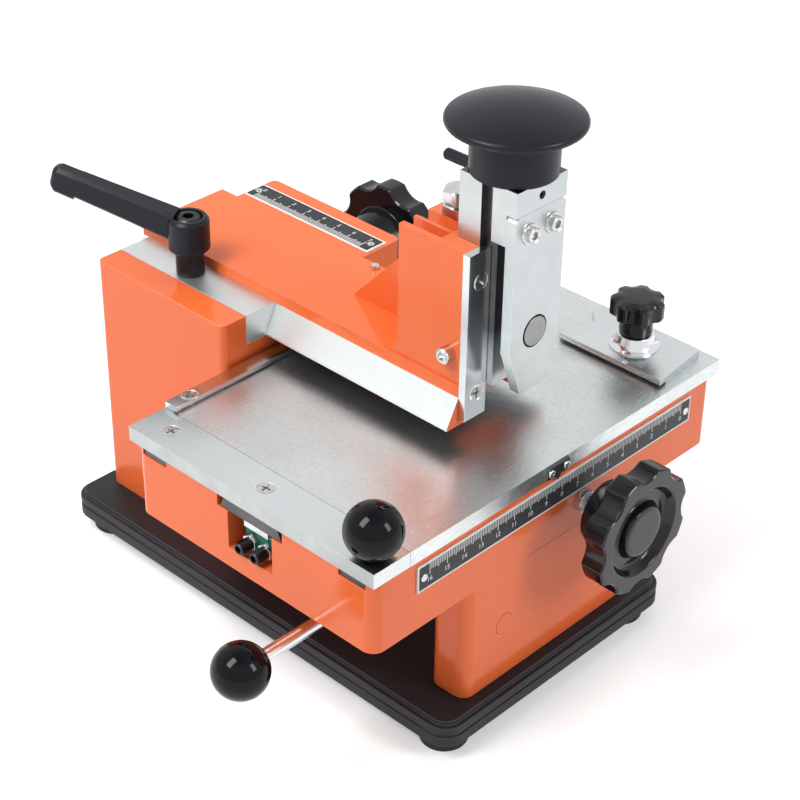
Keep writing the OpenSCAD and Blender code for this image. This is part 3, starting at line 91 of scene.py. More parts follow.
def place_camera():
    back = Vector((math.sin(CAMERA_AZIMUTH) * math.cos(CAMERA_HEIGHT),
                   -math.cos(CAMERA_AZIMUTH) * math.cos(CAMERA_HEIGHT), math.sin(CAMERA_HEIGHT)))
    right = (-back).cross(Vector(UP)).normalized()
    up = right.cross(-back)
    turned_right = right * math.cos(CAMERA_ROLL) + up * math.sin(CAMERA_ROLL)
    turned_up = up * math.cos(CAMERA_ROLL) - right * math.sin(CAMERA_ROLL)
    data = bpy.data.cameras.new("photo_camera")
    data.lens = CAMERA_LENS
    data.sensor_width = CAMERA_SENSOR
    data.clip_start = CAMERA_NEAR
    camera = bpy.data.objects.new("photo_camera", data)
    camera.matrix_world = Matrix((
        (turned_right.x, turned_up.x, back.x, CAMERA_PLACE.x),
        (turned_right.y, turned_up.y, back.y, CAMERA_PLACE.y),
        (turned_right.z, turned_up.z, back.z, CAMERA_PLACE.z),
        (0, 0, 0, 1)))
    bpy.context.scene.collection.objects.link(camera)
    bpy.context.scene.camera = camera


def area_light(name, place, size, power, mirrored):
    data = bpy.data.lights.new(name, "AREA")
    data.shape = "RECTANGLE"
    data.size, data.size_y = size
    data.energy = power
    lamp = bpy.data.objects.new(name, data)
    lamp.visible_glossy = mirrored
    lamp.location = place
    lamp.rotation_euler = (LIGHTS_AIM - Vector(place)).to_track_quat("-Z", "Y").to_euler()
    bpy.context.scene.collection.objects.link(lamp)


def math_node(tree, operation, a, b, clamp=False):
    node = tree.nodes.new("ShaderNodeMath")
    node.operation = operation
    node.use_clamp = clamp
    for socket, value in zip(node.inputs, (a, b)):
        if isinstance(value, (int, float)):
            socket.default_value = value
        else:
            tree.links.new(value, socket)
    return node.outputs[0]


def seen_directly(tree):
    """1 where the camera, a mirror-like surface or glass sees the background."""
    path = tree.nodes.new("ShaderNodeLightPath").outputs
    clear = math_node(tree, "MAXIMUM", path["Is Camera Ray"], path["Is Transmission Ray"])
    return math_node(tree, "MAXIMUM", clear, path["Is Glossy Ray"])


def map_range(tree, value, limits):
    """The value carried from one span to another, with the spans' ends given by socket name."""
    node = tree.nodes.new("ShaderNodeMapRange")
    for label, limit in limits.items():
        node.inputs[label].default_value = limit
    tree.links.new(value, node.inputs["Value"])
    return node.outputs[0]


def height_in(tree, coordinates):
    """The Z of one of the texture coordinates."""
    split = tree.nodes.new("ShaderNodeSeparateXYZ")
    tree.links.new(tree.nodes.new("ShaderNodeTexCoord").outputs[coordinates], split.inputs["Vector"])
    return split.outputs["Z"]


def show_apart(tree, lighting, seen, output):
    """One shader gives the light, and another one is what is seen directly."""
    mix = tree.nodes.new("ShaderNodeMixShader")
    out = tree.nodes.new(output)
    tree.links.new(seen_directly(tree), mix.inputs["Fac"])
    tree.links.new(lighting, mix.inputs[1])
    tree.links.new(seen, mix.inputs[2])
    tree.links.new(mix.outputs[0], out.inputs["Surface"])


def light_world():
    world = bpy.data.worlds.new("studio")
    bpy.context.scene.world = world
    world.use_nodes = True
    tree = world.node_tree
    tree.nodes.clear()
    soft = tree.nodes.new("ShaderNodeBackground")
    soft.inputs["Color"].default_value = WORLD_COLOUR
    soft.inputs["Strength"].default_value = WORLD_STRENGTH
    white = tree.nodes.new("ShaderNodeBackground")
    overhead = map_range(tree, height_in(tree, "Generated"), CEILING_HEIGHTS)
    tree.links.new(mix_colour(tree, overhead, WHITE, CEILING_COLOUR), white.inputs["Color"])
    white.inputs["Strength"].default_value = 1.0
    show_apart(tree, soft.outputs[0], white.outputs[0], "ShaderNodeOutputWorld")


def lay_floor():
    """A pale floor that glows towards its far parts, where it is seen."""
    mesh = bpy.data.meshes.new("floor")
    mesh.from_pydata([(x * FLOOR_REACH, y * FLOOR_REACH, cad_low.z) for x, y in ((-1, -1), (1, -1), (1, 1), (-1, 1))],
                     [], [(0, 1, 2, 3)])
    floor = bpy.data.objects.new("floor", mesh)
    bpy.context.scene.collection.objects.link(floor)
    material = bpy.data.materials.new("pale_floor")
    material.use_nodes = True
    tree = material.node_tree
    tree.nodes.clear()
    matt = tree.nodes.new("ShaderNodeBsdfDiffuse")
    matt.inputs["Color"].default_value = FLOOR_COLOUR
    glow = tree.nodes.new("ShaderNodeEmission")
    glow.inputs["Color"].default_value = WHITE
    reach = tree.nodes.new("ShaderNodeVectorMath")
    reach.operation = "LENGTH"
    tree.links.new(tree.nodes.new("ShaderNodeTexCoord").outputs["Object"], reach.inputs[0])
    tree.links.new(map_range(tree, reach.outputs["Value"], FLOOR_GLOW), glow.inputs["Strength"])
    add = tree.nodes.new("ShaderNodeAddShader")
    tree.links.new(matt.outputs[0], add.inputs[0])
    tree.links.new(glow.outputs[0], add.inputs[1])
    show_apart(tree, matt.outputs[0], add.outputs[0], "ShaderNodeOutputMaterial")
    mesh.materials.append(material)


def light_stage():
    bpy.context.scene.view_settings.view_transform = "Standard"
    light_world()
    for lamp in LIGHTS:
        area_light(*lamp)
    lay_floor()


# Finishes

def open_group(name, inputs, outputs):
    tree = bpy.data.node_groups.new(name, "ShaderNodeTree")
    for label, kind, value in inputs:
        socket = tree.interface.new_socket(label, in_out="INPUT", socket_type=kind)
        socket.default_value = value
    for label, kind in outputs:
        tree.interface.new_socket(label, in_out="OUTPUT", socket_type=kind)
    return tree, tree.nodes.new("NodeGroupInput"), tree.nodes.new("NodeGroupOutput")


def mix_colour(tree, factor, a, b):
    node = tree.nodes.new("ShaderNodeMix")
    node.data_type = "RGBA"
    tree.links.new(factor, node.inputs["Factor"])
    for socket, value in ((node.inputs["A"], a), (node.inputs["B"], b)):
        if isinstance(value, tuple):
            socket.default_value = value
        else:
            tree.links.new(value, socket)
    return node.outputs["Result"]


def noise(tree, scale, detail, stretch=None):
    """Noise on the piece's own coordinates, drawn out along an axis where stretch is given."""
    place = tree.nodes.new("ShaderNodeTexCoord")
    vector = place.outputs["Object"]
    if stretch is not None:
        mapping = tree.nodes.new("ShaderNodeMapping")
        tree.links.new(vector, mapping.inputs["Vector"])
        tree.links.new(stretch, mapping.inputs["Scale"])
        vector = mapping.outputs["Vector"]
    node = tree.nodes.new("ShaderNodeTexNoise")
    node.inputs["Detail"].default_value = detail
    tree.links.new(vector, node.inputs["Vector"])
    if isinstance(scale, (int, float)):
        node.inputs["Scale"].default_value = scale
    else:
        tree.links.new(scale, node.inputs["Scale"])
    return node.outputs["Fac"]


def worn_edge(tree):
    """1 on the faces that round_edges marked."""
    node = tree.nodes.new("ShaderNodeAttribute")
    node.attribute_name = "edge"
    return node.outputs["Fac"]


def swing(tree, value, amount):
    """A noise value as a swing to both sides of zero."""
    return math_node(tree, "MULTIPLY", math_node(tree, "SUBTRACT", value, 0.5), amount)


HIGHLIGHT_EVENNESS = 0.4


def make_skin_group():
    """Paint, plastic and rubber: slow tone drift, fine grain and a painted highlight on the rounded edges."""
    tree, given, put = open_group(
        "moulded_skin",
        [("Colour", "NodeSocketColor", (0.5, 0.5, 0.5, 1)), ("Edge Highlight Colour", "NodeSocketColor", (0.7, 0.7, 0.7, 1)),
         ("Edge Highlight Amount", "NodeSocketFloat", 0.3), ("Tone Drift", "NodeSocketFloat", 0.15),
         ("Grain Scale", "NodeSocketFloat", 900.0), ("Roughness", "NodeSocketFloat", 0.35),
         ("Roughness Spread", "NodeSocketFloat", 0.08)],
        [("Colour", "NodeSocketColor"), ("Roughness", "NodeSocketFloat"), ("Height", "NodeSocketFloat")])
    drift = noise(tree, scale=18.0, detail=3.0)
    grain = noise(tree, given.outputs["Grain Scale"], detail=2.0)
    smear = noise(tree, scale=60.0, detail=4.0)
    tone = tree.nodes.new("ShaderNodeHueSaturation")
    tree.links.new(given.outputs["Colour"], tone.inputs["Color"])
    lift = math_node(tree, "ADD", swing(tree, drift, given.outputs["Tone Drift"]), 1.0)
    tree.links.new(lift, tone.inputs["Value"])
    # painted highlight: the rounded edges are mixed unevenly towards the lighter edge colour
    patch = math_node(tree, "MULTIPLY", worn_edge(tree), given.outputs["Edge Highlight Amount"])
    patch = math_node(tree, "MULTIPLY", patch, math_node(tree, "ADD", smear, HIGHLIGHT_EVENNESS), clamp=True)
    tree.links.new(mix_colour(tree, patch, tone.outputs["Color"], given.outputs["Edge Highlight Colour"]), put.inputs["Colour"])
    rough = swing(tree, smear, given.outputs["Roughness Spread"])
    tree.links.new(math_node(tree, "ADD", rough, given.outputs["Roughness"]), put.inputs["Roughness"])
    tree.links.new(grain, put.inputs["Height"])
    return tree


CLOUD_SPAN = {"From Min": 0.35, "From Max": 0.7}
EDGE_POLISH = 0.8
MARKS_SHARE = 0.6


def make_metal_group():
    """Worked metal: drawn-out tool marks, cloudy zinc patches and bright edges."""
    tree, given, put = open_group(
        "worked_metal",
        [("Colour", "NodeSocketColor", (0.6, 0.6, 0.6, 1)), ("Dull Colour", "NodeSocketColor", (0.4, 0.4, 0.4, 1)),
         ("Cloud Scale", "NodeSocketFloat", 40.0), ("Cloud Amount", "NodeSocketFloat", 0.4),
         ("Mark Stretch", "NodeSocketVector", (1.0, 1.0, 1.0)), ("Mark Scale", "NodeSocketFloat", 500.0),
         ("Mark Shade", "NodeSocketFloat", 0.0), ("Roughness", "NodeSocketFloat", 0.3),
         ("Roughness Spread", "NodeSocketFloat", 0.2)],
        [("Colour", "NodeSocketColor"), ("Roughness", "NodeSocketFloat"), ("Height", "NodeSocketFloat")])
    cloud = noise(tree, given.outputs["Cloud Scale"], detail=5.0)
    marks = noise(tree, given.outputs["Mark Scale"], detail=3.0, stretch=given.outputs["Mark Stretch"])
    patch = math_node(tree, "MULTIPLY", map_range(tree, cloud, CLOUD_SPAN), given.outputs["Cloud Amount"])
    patch = math_node(tree, "ADD", patch, swing(tree, marks, given.outputs["Mark Shade"]), clamp=True)
    keep = math_node(tree, "SUBTRACT", 1.0, math_node(tree, "MULTIPLY", worn_edge(tree), EDGE_POLISH))
    patch = math_node(tree, "MULTIPLY", patch, keep)
    tree.links.new(mix_colour(tree, patch, given.outputs["Colour"], given.outputs["Dull Colour"]), put.inputs["Colour"])
    both = math_node(tree, "ADD", math_node(tree, "MULTIPLY", marks, MARKS_SHARE),
                     math_node(tree, "MULTIPLY", cloud, 1 - MARKS_SHARE))
    rough = swing(tree, both, given.outputs["Roughness Spread"])
    tree.links.new(math_node(tree, "ADD", rough, given.outputs["Roughness"], clamp=True), put.inputs["Roughness"])
    tree.links.new(marks, put.inputs["Height"])
    return tree


SKIN = make_skin_group()
METAL = make_metal_group()
SKIN_RELIEF = 0.2 * MM
METAL_RELIEF = 0.1 * MM
TABLE_RELIEF = 0.3 * MM


def finish_material(name, group, values, bump, bump_reach, constants):
    material = bpy.data.materials.new(name)
    material.use_nodes = True
    tree = material.node_tree
    shader = tree.nodes["Principled BSDF"]
    node = tree.nodes.new("ShaderNodeGroup")
    node.node_tree = group
    for label, value in values.items():
        node.inputs[label].default_value = value
    tree.links.new(node.outputs["Colour"], shader.inputs["Base Color"])
    tree.links.new(node.outputs["Roughness"], shader.inputs["Roughness"])
    relief = tree.nodes.new("ShaderNodeBump")
    relief.inputs["Strength"].default_value = bump
    relief.inputs["Distance"].default_value = bump_reach
    tree.links.new(node.outputs["Height"], relief.inputs["Height"])
    tree.links.new(relief.outputs["Normal"], shader.inputs["Normal"])
    for label, value in constants.items():
        shader.inputs[label].default_value = value
    return material


# edge is the colour of the painted highlight laid on the rounded edges
def skin(name, colour, edge, roughness, grain=900.0, drift=0.12, highlight_amount=0.35, spread=0.08, bump=0.08,
         specular=0.5):
    return finish_material(
        name, SKIN,
        {"Colour": (*colour, 1), "Edge Highlight Colour": (*edge, 1), "Edge Highlight Amount": highlight_amount, "Tone Drift": drift,
         "Grain Scale": grain, "Roughness": roughness, "Roughness Spread": spread},
        bump, SKIN_RELIEF, {"Metallic": 0.0, "Specular IOR Level": specular})


def metal(name, colour, dull, roughness, stretch=(1, 1, 1), marks=500.0, cloud=40.0, amount=0.4, spread=0.15,
          bump=0.05, shade=0.0, relief=METAL_RELIEF):
    return finish_material(
        name, METAL,
        {"Colour": (*colour, 1), "Dull Colour": (*dull, 1), "Cloud Scale": cloud, "Cloud Amount": amount,
         "Mark Stretch": stretch, "Mark Scale": marks, "Mark Shade": shade, "Roughness": roughness,
         "Roughness Spread": spread},
        bump, relief, {"Metallic": 1.0})


# the second colour of each skin below is its painted highlight on the rounded edges
ORANGE_PAINT = skin("orange_paint", (0.80, 0.15, 0.04), (0.95, 0.36, 0.17), 0.15, grain=420.0, drift=0.06, bump=0.03,
                    specular=0.3)
BASE_BLACK = skin("base_black", (0.014, 0.014, 0.017), (0.07, 0.07, 0.08), 0.5, grain=1500.0, bump=0.12, specular=0.3)
RUBBER = skin("foot_rubber", (0.02, 0.02, 0.02), (0.05, 0.05, 0.05), 0.75, grain=1800.0, bump=0.2, specular=0.3)
GLOSS_BLACK = skin("gloss_black", (0.006, 0.006, 0.008), (0.02, 0.02, 0.02), 0.12, grain=300.0, bump=0.01, spread=0.04,
                   specular=0.37)
# a darker copy of the gloss black that reflects less: painted shade for the balls, which reflect darker surroundings
# than the wheels
DIMMED_GLOSS_BLACK = skin("dimmed_gloss_black", (0.003, 0.003, 0.005), (0.01, 0.01, 0.012), 0.06, grain=300.0, bump=0.005, spread=0.02,
                  specular=0.17)
SATIN_BLACK = skin("satin_black", (0.0085, 0.0095, 0.0145), (0.045, 0.045, 0.055), 0.34, grain=2200.0, bump=0.06,
                   specular=0.22)
GREEN_PAINT = skin("green_paint", (0.03, 0.19, 0.12), (0.08, 0.28, 0.18), 0.4, grain=800.0, specular=0.3)
SCALE_BLACK = skin("scale_black", (0.02, 0.021, 0.026), (0.6, 0.6, 0.6), 0.42, grain=1200.0, bump=0.02, specular=0.3)
SCALE_WHITE = skin("scale_white", (0.74, 0.74, 0.73), (0.85, 0.85, 0.85), 0.4, grain=1200.0, bump=0.02, specular=0.3)
SOCKET_DARK = skin("socket_dark", (0.012, 0.012, 0.012), (0.03, 0.03, 0.03), 0.6, grain=1500.0, specular=0.2)
TABLE_ZINC = metal("table_zinc", (0.7, 0.735, 0.735), (0.56, 0.59, 0.585), 0.35, stretch=(0.3, 1.0, 1.0), marks=1000.0,
                   cloud=26.0, amount=0.5, spread=0.3, bump=0.5, shade=1.7, relief=TABLE_RELIEF)
PLAIN_ZINC = metal("plain_zinc", (0.68, 0.725, 0.73), (0.56, 0.6, 0.6), 0.27, stretch=(1.0, 0.2, 1.0), marks=900.0,
                   cloud=26.0, amount=0.5, spread=0.12, bump=0.15, shade=0.4)
DULL_SIDE_ZINC = metal("dull_side_zinc", (0.5, 0.525, 0.52), (0.4, 0.42, 0.415), 0.5, stretch=(1.0, 0.2, 1.0), marks=1200.0,
                     cloud=120.0, amount=0.6, spread=0.2, bump=0.2)
BRIGHT_STEEL = metal("bright_steel", (0.66, 0.68, 0.69), (0.54, 0.56, 0.57), 0.2, stretch=(1, 1, 0.08), marks=900.0,
                     amount=0.3, bump=0.03)
ZINC_PLATE = metal("zinc_plate", (0.52, 0.55, 0.55), (0.43, 0.455, 0.455), 0.36, cloud=90.0, amount=0.35, bump=0.04)
GROUND_STEEL = metal("ground_steel", (0.77, 0.8, 0.8), (0.62, 0.645, 0.65), 0.46, stretch=(1, 0.05, 1), marks=1400.0,
                     amount=0.3, spread=0.2, bump=0.08)
MAGNET_STEEL = metal("magnet_steel", (0.3, 0.3, 0.305), (0.22, 0.22, 0.225), 0.34, cloud=160.0, amount=0.5)
DARK_STEEL = metal("dark_steel", (0.12, 0.12, 0.125), (0.06, 0.06, 0.06), 0.42, cloud=60.0, amount=0.6)
BLACK_OXIDE = metal("black_oxide", (0.05, 0.05, 0.055), (0.025, 0.025, 0.025), 0.38, cloud=200.0)
SCREW_STEEL = metal("screw_steel", (0.64, 0.64, 0.63), (0.45, 0.45, 0.45), 0.24, cloud=300.0, amount=0.4)
CHROME = metal("bright_chrome", (0.74, 0.75, 0.77), (0.62, 0.63, 0.65), 0.14, amount=0.2, spread=0.05, bump=0.01)
# dark steel used only as painted shade on the ram's web, with a painted reflection brightening its foot
WEB_SHADE_STEEL = metal("web_shade_steel", (0.12, 0.12, 0.125), (0.06, 0.06, 0.06), 0.3, cloud=60.0, amount=0.6)
BRONZE = metal("bronze", (0.58, 0.4, 0.17), (0.36, 0.24, 0.1), 0.3, cloud=80.0)

FINISH_OF = {}
for finish, names in (
        (ORANGE_PAINT, "pedestal leg_plug bed column arm_head"),
        (BASE_BLACK, "base_plate"),
        (RUBBER, "rubber_feet"),
        (GLOSS_BLACK, "handwheel rear_wheel clamp_knob"),
        (DIMMED_GLOSS_BLACK, "table_ball lever_ball"),
        (SATIN_BLACK, "palm_knob clamp_lever stop_peg"),
        (GREEN_PAINT, "feed_block"),
        (SCALE_WHITE, "front_ruler top_ruler"),
        (TABLE_ZINC, "table_plate"),
        (PLAIN_ZINC, "table_strip clamp_plate"),
        (BRIGHT_STEEL, "guide_strips fence_bar feed_lever wheel_shaft arm_shaft"),
        (ZINC_PLATE, "front_plate ram"),
        (GROUND_STEEL, "column_gib table_rack arm_rack"),
        (MAGNET_STEEL, "disc_magnet"),
        (DARK_STEEL, "table_rail table_runners pointer"),
        (BLACK_OXIDE, "block_screws lever_stud ram_set_screw"),
        (SCREW_STEEL, "shaft_bush arm_bush ruler_screws block_nuts feed_pivot table_screws ball_stud pointer_screws "
                      "knob_stud strip_screws index_screw stop_bolt stop_nut cross_screw cross_nut plate_screws "
                      "ram_spring"),
        (CHROME, "cup_washer"),
        (BRONZE, "table_pinion arm_pinion")):
    for part in names.split():
        FINISH_OF[part] = finish


# Pieces

SHARP_ANGLE = 32.0  # shading breaks at sharper edges, in degrees
ROUNDED_ANGLE = 28.0  # sharper edges are rounded
FLAT_ANGLE = 0.6  # flatter edges are dissolved
JOIN_REACH = 1e-6
NO_LENGTH = 1e-7
BEND_SHARE = 0.48  # of the shorter side next to a bend


def new_piece(name, body, bm, materials, sharp=SHARP_ANGLE):
    """Turns a finished shape into a piece that rides on its body."""
    bmesh.ops.recalc_face_normals(bm, faces=bm.faces)
    mesh = bpy.data.meshes.new(name)
    bm.to_mesh(mesh)
    bm.free()
    for material in materials:
        mesh.materials.append(material)
    for polygon in mesh.polygons:
        polygon.use_smooth = True
    mesh.set_sharp_from_angle(angle=math.radians(sharp))
    piece = bpy.data.objects.new(name, mesh)
    bpy.context.scene.collection.objects.link(piece)
    shading = piece.modifiers.new("flat_faces", "WEIGHTED_NORMAL")
    shading.keep_sharp = True
    piece.data = evaluated_mesh(piece)
    piece.data.name = name
    piece.modifiers.remove(shading)
    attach(piece, body)
    return piece


def evaluated_mesh(piece):
    """The piece with its modifiers carried out, as a plain mesh."""
    graph = bpy.context.evaluated_depsgraph_get()
    return bpy.data.meshes.new_from_object(piece.evaluated_get(graph), depsgraph=graph)


def finish_node(node, bm, materials=None, sharp=SHARP_ANGLE):
    """A finished shape that stands for a node."""
    piece = new_piece(node + "_finished", BODY_OF[node], bm, materials or [FINISH_OF[node]], sharp)
    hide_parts(node)


def solid_of(node):
    """The node's own solid as joined faces."""
    bm = bmesh.new()
    bm.from_mesh(NODES[node].data)
    bmesh.ops.remove_doubles(bm, verts=bm.verts, dist=JOIN_REACH)
    bmesh.ops.dissolve_limit(bm, angle_limit=math.radians(FLAT_ANGLE), verts=bm.verts, edges=bm.edges,
                             delimit={"NORMAL"})
    bmesh.ops.dissolve_degenerate(bm, dist=NO_LENGTH, edges=bm.edges)
    return bm


def boxes_of(node):
    """Low and high corners of each separate solid in a node."""
    bm = solid_of(node)
    left = set(bm.verts)
    boxes = []
    while left:
        queue = [left.pop()]
        group = []
        while queue:
            vert = queue.pop()
            group.append(vert.co.copy())
            for edge in vert.link_edges:
                other = edge.other_vert(vert)
                if other in left:
                    left.discard(other)
                    queue.append(other)
        boxes.append((Vector(map(min, zip(*group))), Vector(map(max, zip(*group)))))
    bm.free()
    return sorted(boxes, key=lambda b: tuple(b[0]))


def round_edges(bm, width, segments, choose=None):
    """Rounds the sharp edges and marks the new faces as edges for the finishes."""
    edge_mark = bm.faces.layers.float.get("edge") or bm.faces.layers.float.new("edge")
    sharp = math.radians(ROUNDED_ANGLE)
    edges = [e for e in bm.edges if len(e.link_faces) == 2 and e.calc_face_angle(0.0) > sharp]
    if choose is not None:
        edges = [e for e in edges if choose(e)]
    made = bmesh.ops.bevel(bm, geom=edges, offset=width, segments=segments, profile=0.5, affect="EDGES",
                           clamp_overlap=True)
    for face in made["faces"]:
        face[edge_mark] = 1.0
    return bm


def dress(node, width, segments=2, materials=None, paint=None):
    """The node with rounded edges, in its finish, standing for the node."""
    bm = round_edges(solid_of(node), width, segments)
    if paint is not None:
        bm.normal_update()
        for face in bm.faces:
            face.material_index = paint(face)
    finish_node(node, bm, materials)


def rounded_path(corners, steps=5):
    """Points along the corners (across, up, bend radius, lobed share), in millimetres, with round bends."""
    path = []
    for i, (x, y, radius, lobed) in enumerate(corners):
        here = Vector((x, y))
        if radius == 0 or i in (0, len(corners) - 1):
            path.append((x, y, lobed))
            continue
        before = Vector(corners[i - 1][:2]) - here
        after = Vector(corners[i + 1][:2]) - here
        room = BEND_SHARE * min(before.length, after.length)
        reach = min(radius / math.tan(before.angle(after) / 2), room)
        start = here + before.normalized() * reach
        end = here + after.normalized() * reach
        for k in range(steps + 1):
            t = k / steps
            spot = start * (1 - t) ** 2 + here * 2 * t * (1 - t) + end * t * t
            path.append((spot.x, spot.y, lobed))
    return path


def scalloped(radius, count, depth, softness):
    """Outline of a wheel with round hollows, as a function of the angle."""
    hollow = radius * math.pi / count
    middle = radius - depth + hollow
    step = 2 * math.pi / count

    def reach(angle):
        off = (angle + step / 2) % step - step / 2
        side = middle * math.sin(off)
        if abs(side) >= hollow:
            return radius
        near = middle * math.cos(off) - math.sqrt(hollow ** 2 - side ** 2)
        return -softness * math.log(math.exp(-radius / softness) + math.exp(-near / softness))
    return reach


def hexagonal(flat):
    """Outline of a hexagon over its flats, as a function of the angle."""
    return lambda angle: flat / 2 / math.cos((angle + math.pi / 6) % (math.pi / 3) - math.pi / 6)


def bridge(bm, low, high):
    """The faces between two rings of the same count."""
    after = [(k + 1) % len(low) for k in range(len(low))]
    return [bm.faces.new((low[k], low[n], high[n], high[k])) for k, n in enumerate(after)]


def turned(corners, place, steps=96, outline=None, widest=0.0, bm=None, paint=None):
    """A form turned round its own Z, its edge shaped by the outline where the corners say so."""
    bm = bm or bmesh.new()
    path = rounded_path(corners)
    rings = []
    for across, up, lobed in path:
        ring = []
        for k in range(steps):
            angle = 2 * math.pi * k / steps
            reach = across + (lobed * (outline(angle) - widest) if outline else 0.0)
            spot = Vector((reach * math.cos(angle), reach * math.sin(angle), up)) * MM
            ring.append(bm.verts.new(place @ spot))
        rings.append(ring)
    for index, (low, high) in enumerate(zip(rings, rings[1:])):
        for face in bridge(bm, low, high):
            if paint is not None:
                face.material_index = paint(path[index], path[index + 1])
    bmesh.ops.remove_doubles(bm, verts=[v for ring in rings for v in ring], dist=NO_LENGTH)
    return bm


def placed(spot, x_to, y_to, z_to):
    """Place of a form whose own axes run along the given ones, at a spot in metres."""
    return Matrix(((x_to[0], y_to[0], z_to[0], spot[0]), (x_to[1], y_to[1], z_to[1], spot[1]),
                   (x_to[2], y_to[2], z_to[2], spot[2]), (0, 0, 0, 1)))


def upright(spot):
    return placed(spot, RIGHT, BACK, UP)


def facing_front(spot):
    return placed(spot, RIGHT, UP, FRONT)


def facing_left(spot):
    return placed(spot, FRONT, UP, LEFT)


def facing_right(spot):
    return placed(spot, DOWN, BACK, RIGHT)


def side_of(box, way):
    """Middle of a box's side that faces the given way."""
    low, high = box
    spot = (low + high) / 2
    for axis in range(3):
        if way[axis]:
            spot[axis] = high[axis] if way[axis] > 0 else low[axis]
    return spot


def foot_on(stud, node):
    """Where the node's underside meets the axis of its stud."""
    spot = side_of(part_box(stud), DOWN)
    spot.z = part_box(node)[0].z
    return spot


# Screw heads and scale ticks, laid out by Geometry Nodes

def open_layout(name, inputs):
    tree = bpy.data.node_groups.new(name, "GeometryNodeTree")
    tree.interface.new_socket("Geometry", in_out="INPUT", socket_type="NodeSocketGeometry")
    for label, kind in inputs:
        tree.interface.new_socket(label, in_out="INPUT", socket_type=kind)
    tree.interface.new_socket("Geometry", in_out="OUTPUT", socket_type="NodeSocketGeometry")
    return tree, tree.nodes.new("NodeGroupInput"), tree.nodes.new("NodeGroupOutput")


def close_layout(tree, instances, given, put):
    real = tree.nodes.new("GeometryNodeRealizeInstances")
    paint = tree.nodes.new("GeometryNodeSetMaterial")
    tree.links.new(instances, real.inputs["Geometry"])
    tree.links.new(real.outputs["Geometry"], paint.inputs["Geometry"])
    tree.links.new(given.outputs["Finish"], paint.inputs["Material"])
    tree.links.new(paint.outputs["Geometry"], put.inputs["Geometry"])


def join_xyz(tree, *values):
    node = tree.nodes.new("ShaderNodeCombineXYZ")
    for socket, value in zip(node.inputs, values):
        if isinstance(value, (int, float)):
            socket.default_value = value
        else:
            tree.links.new(value, socket)
    return node.outputs[0]


def make_tick_layout():
    """A row of ticks along X from 0, longer at every fifth and tenth, each growing along Y."""
    tree, given, put = open_layout("tick_row", [
        ("Count", "NodeSocketInt"), ("Step", "NodeSocketFloat"), ("Width", "NodeSocketFloat"),
        ("Short", "NodeSocketFloat"), ("Middle", "NodeSocketFloat"), ("Long", "NodeSocketFloat"),
        ("Relief", "NodeSocketFloat"), ("Finish", "NodeSocketMaterial")])
    line = tree.nodes.new("GeometryNodeMeshLine")
    tree.links.new(given.outputs["Count"], line.inputs["Count"])
    tree.links.new(join_xyz(tree, given.outputs["Step"], 0.0, 0.0), line.inputs["Offset"])
    bar = tree.nodes.new("GeometryNodeMeshCube")
    tree.links.new(join_xyz(tree, given.outputs["Width"], 1.0, given.outputs["Relief"]), bar.inputs["Size"])
    shift = tree.nodes.new("GeometryNodeTransform")
    shift.inputs["Translation"].default_value = (0.0, 0.5, 0.0)
    tree.links.new(bar.outputs["Mesh"], shift.inputs["Geometry"])
    index = tree.nodes.new("GeometryNodeInputIndex").outputs[0]
    fifth = math_node(tree, "LESS_THAN", math_node(tree, "MODULO", index, 5.0), 0.5)
    tenth = math_node(tree, "LESS_THAN", math_node(tree, "MODULO", index, 10.0), 0.5)
    more = math_node(tree, "SUBTRACT", given.outputs["Middle"], given.outputs["Short"])
    most = math_node(tree, "SUBTRACT", given.outputs["Long"], given.outputs["Middle"])
    length = math_node(tree, "ADD", given.outputs["Short"], math_node(tree, "MULTIPLY", fifth, more))
    length = math_node(tree, "ADD", length, math_node(tree, "MULTIPLY", tenth, most))
    place = tree.nodes.new("GeometryNodeInstanceOnPoints")
    tree.links.new(line.outputs["Mesh"], place.inputs["Points"])
    tree.links.new(shift.outputs["Geometry"], place.inputs["Instance"])
    tree.links.new(join_xyz(tree, 1.0, length, 1.0), place.inputs["Scale"])
    close_layout(tree, place.outputs["Instances"], given, put)
    return tree


def make_head_layout():
    """A screw head on every point, facing along Axis, each turned by its own chance angle."""
    tree, given, put = open_layout("screw_heads", [
        ("Head", "NodeSocketObject"), ("Axis", "NodeSocketVector"), ("Turn", "NodeSocketFloat"),
        ("Seed", "NodeSocketInt"), ("Finish", "NodeSocketMaterial")])
    head = tree.nodes.new("GeometryNodeObjectInfo")
    tree.links.new(given.outputs["Head"], head.inputs["Object"])
    aim = tree.nodes.new("FunctionNodeAlignRotationToVector")
    aim.axis = "Z"
    tree.links.new(given.outputs["Axis"], aim.inputs["Vector"])
    chance = tree.nodes.new("FunctionNodeRandomValue")
    chance.data_type = "FLOAT"
    tree.links.new(given.outputs["Turn"], chance.inputs[3])
    tree.links.new(given.outputs["Seed"], chance.inputs["Seed"])
    spin = tree.nodes.new("FunctionNodeAxisAngleToRotation")
    spin.inputs["Axis"].default_value = (0.0, 0.0, 1.0)
    tree.links.new(chance.outputs[1], spin.inputs["Angle"])
    turn = tree.nodes.new("FunctionNodeRotateRotation")
    turn.rotation_space = "LOCAL"
    tree.links.new(aim.outputs["Rotation"], turn.inputs["Rotation"])
    tree.links.new(spin.outputs["Rotation"], turn.inputs["Rotate By"])
    place = tree.nodes.new("GeometryNodeInstanceOnPoints")
    tree.links.new(given.outputs["Geometry"], place.inputs["Points"])
    tree.links.new(head.outputs["Geometry"], place.inputs["Instance"])
    tree.links.new(turn.outputs["Rotation"], place.inputs["Rotation"])
    close_layout(tree, place.outputs["Instances"], given, put)
    return tree


TICK_ROW = make_tick_layout()
HEAD_ROW = make_head_layout()


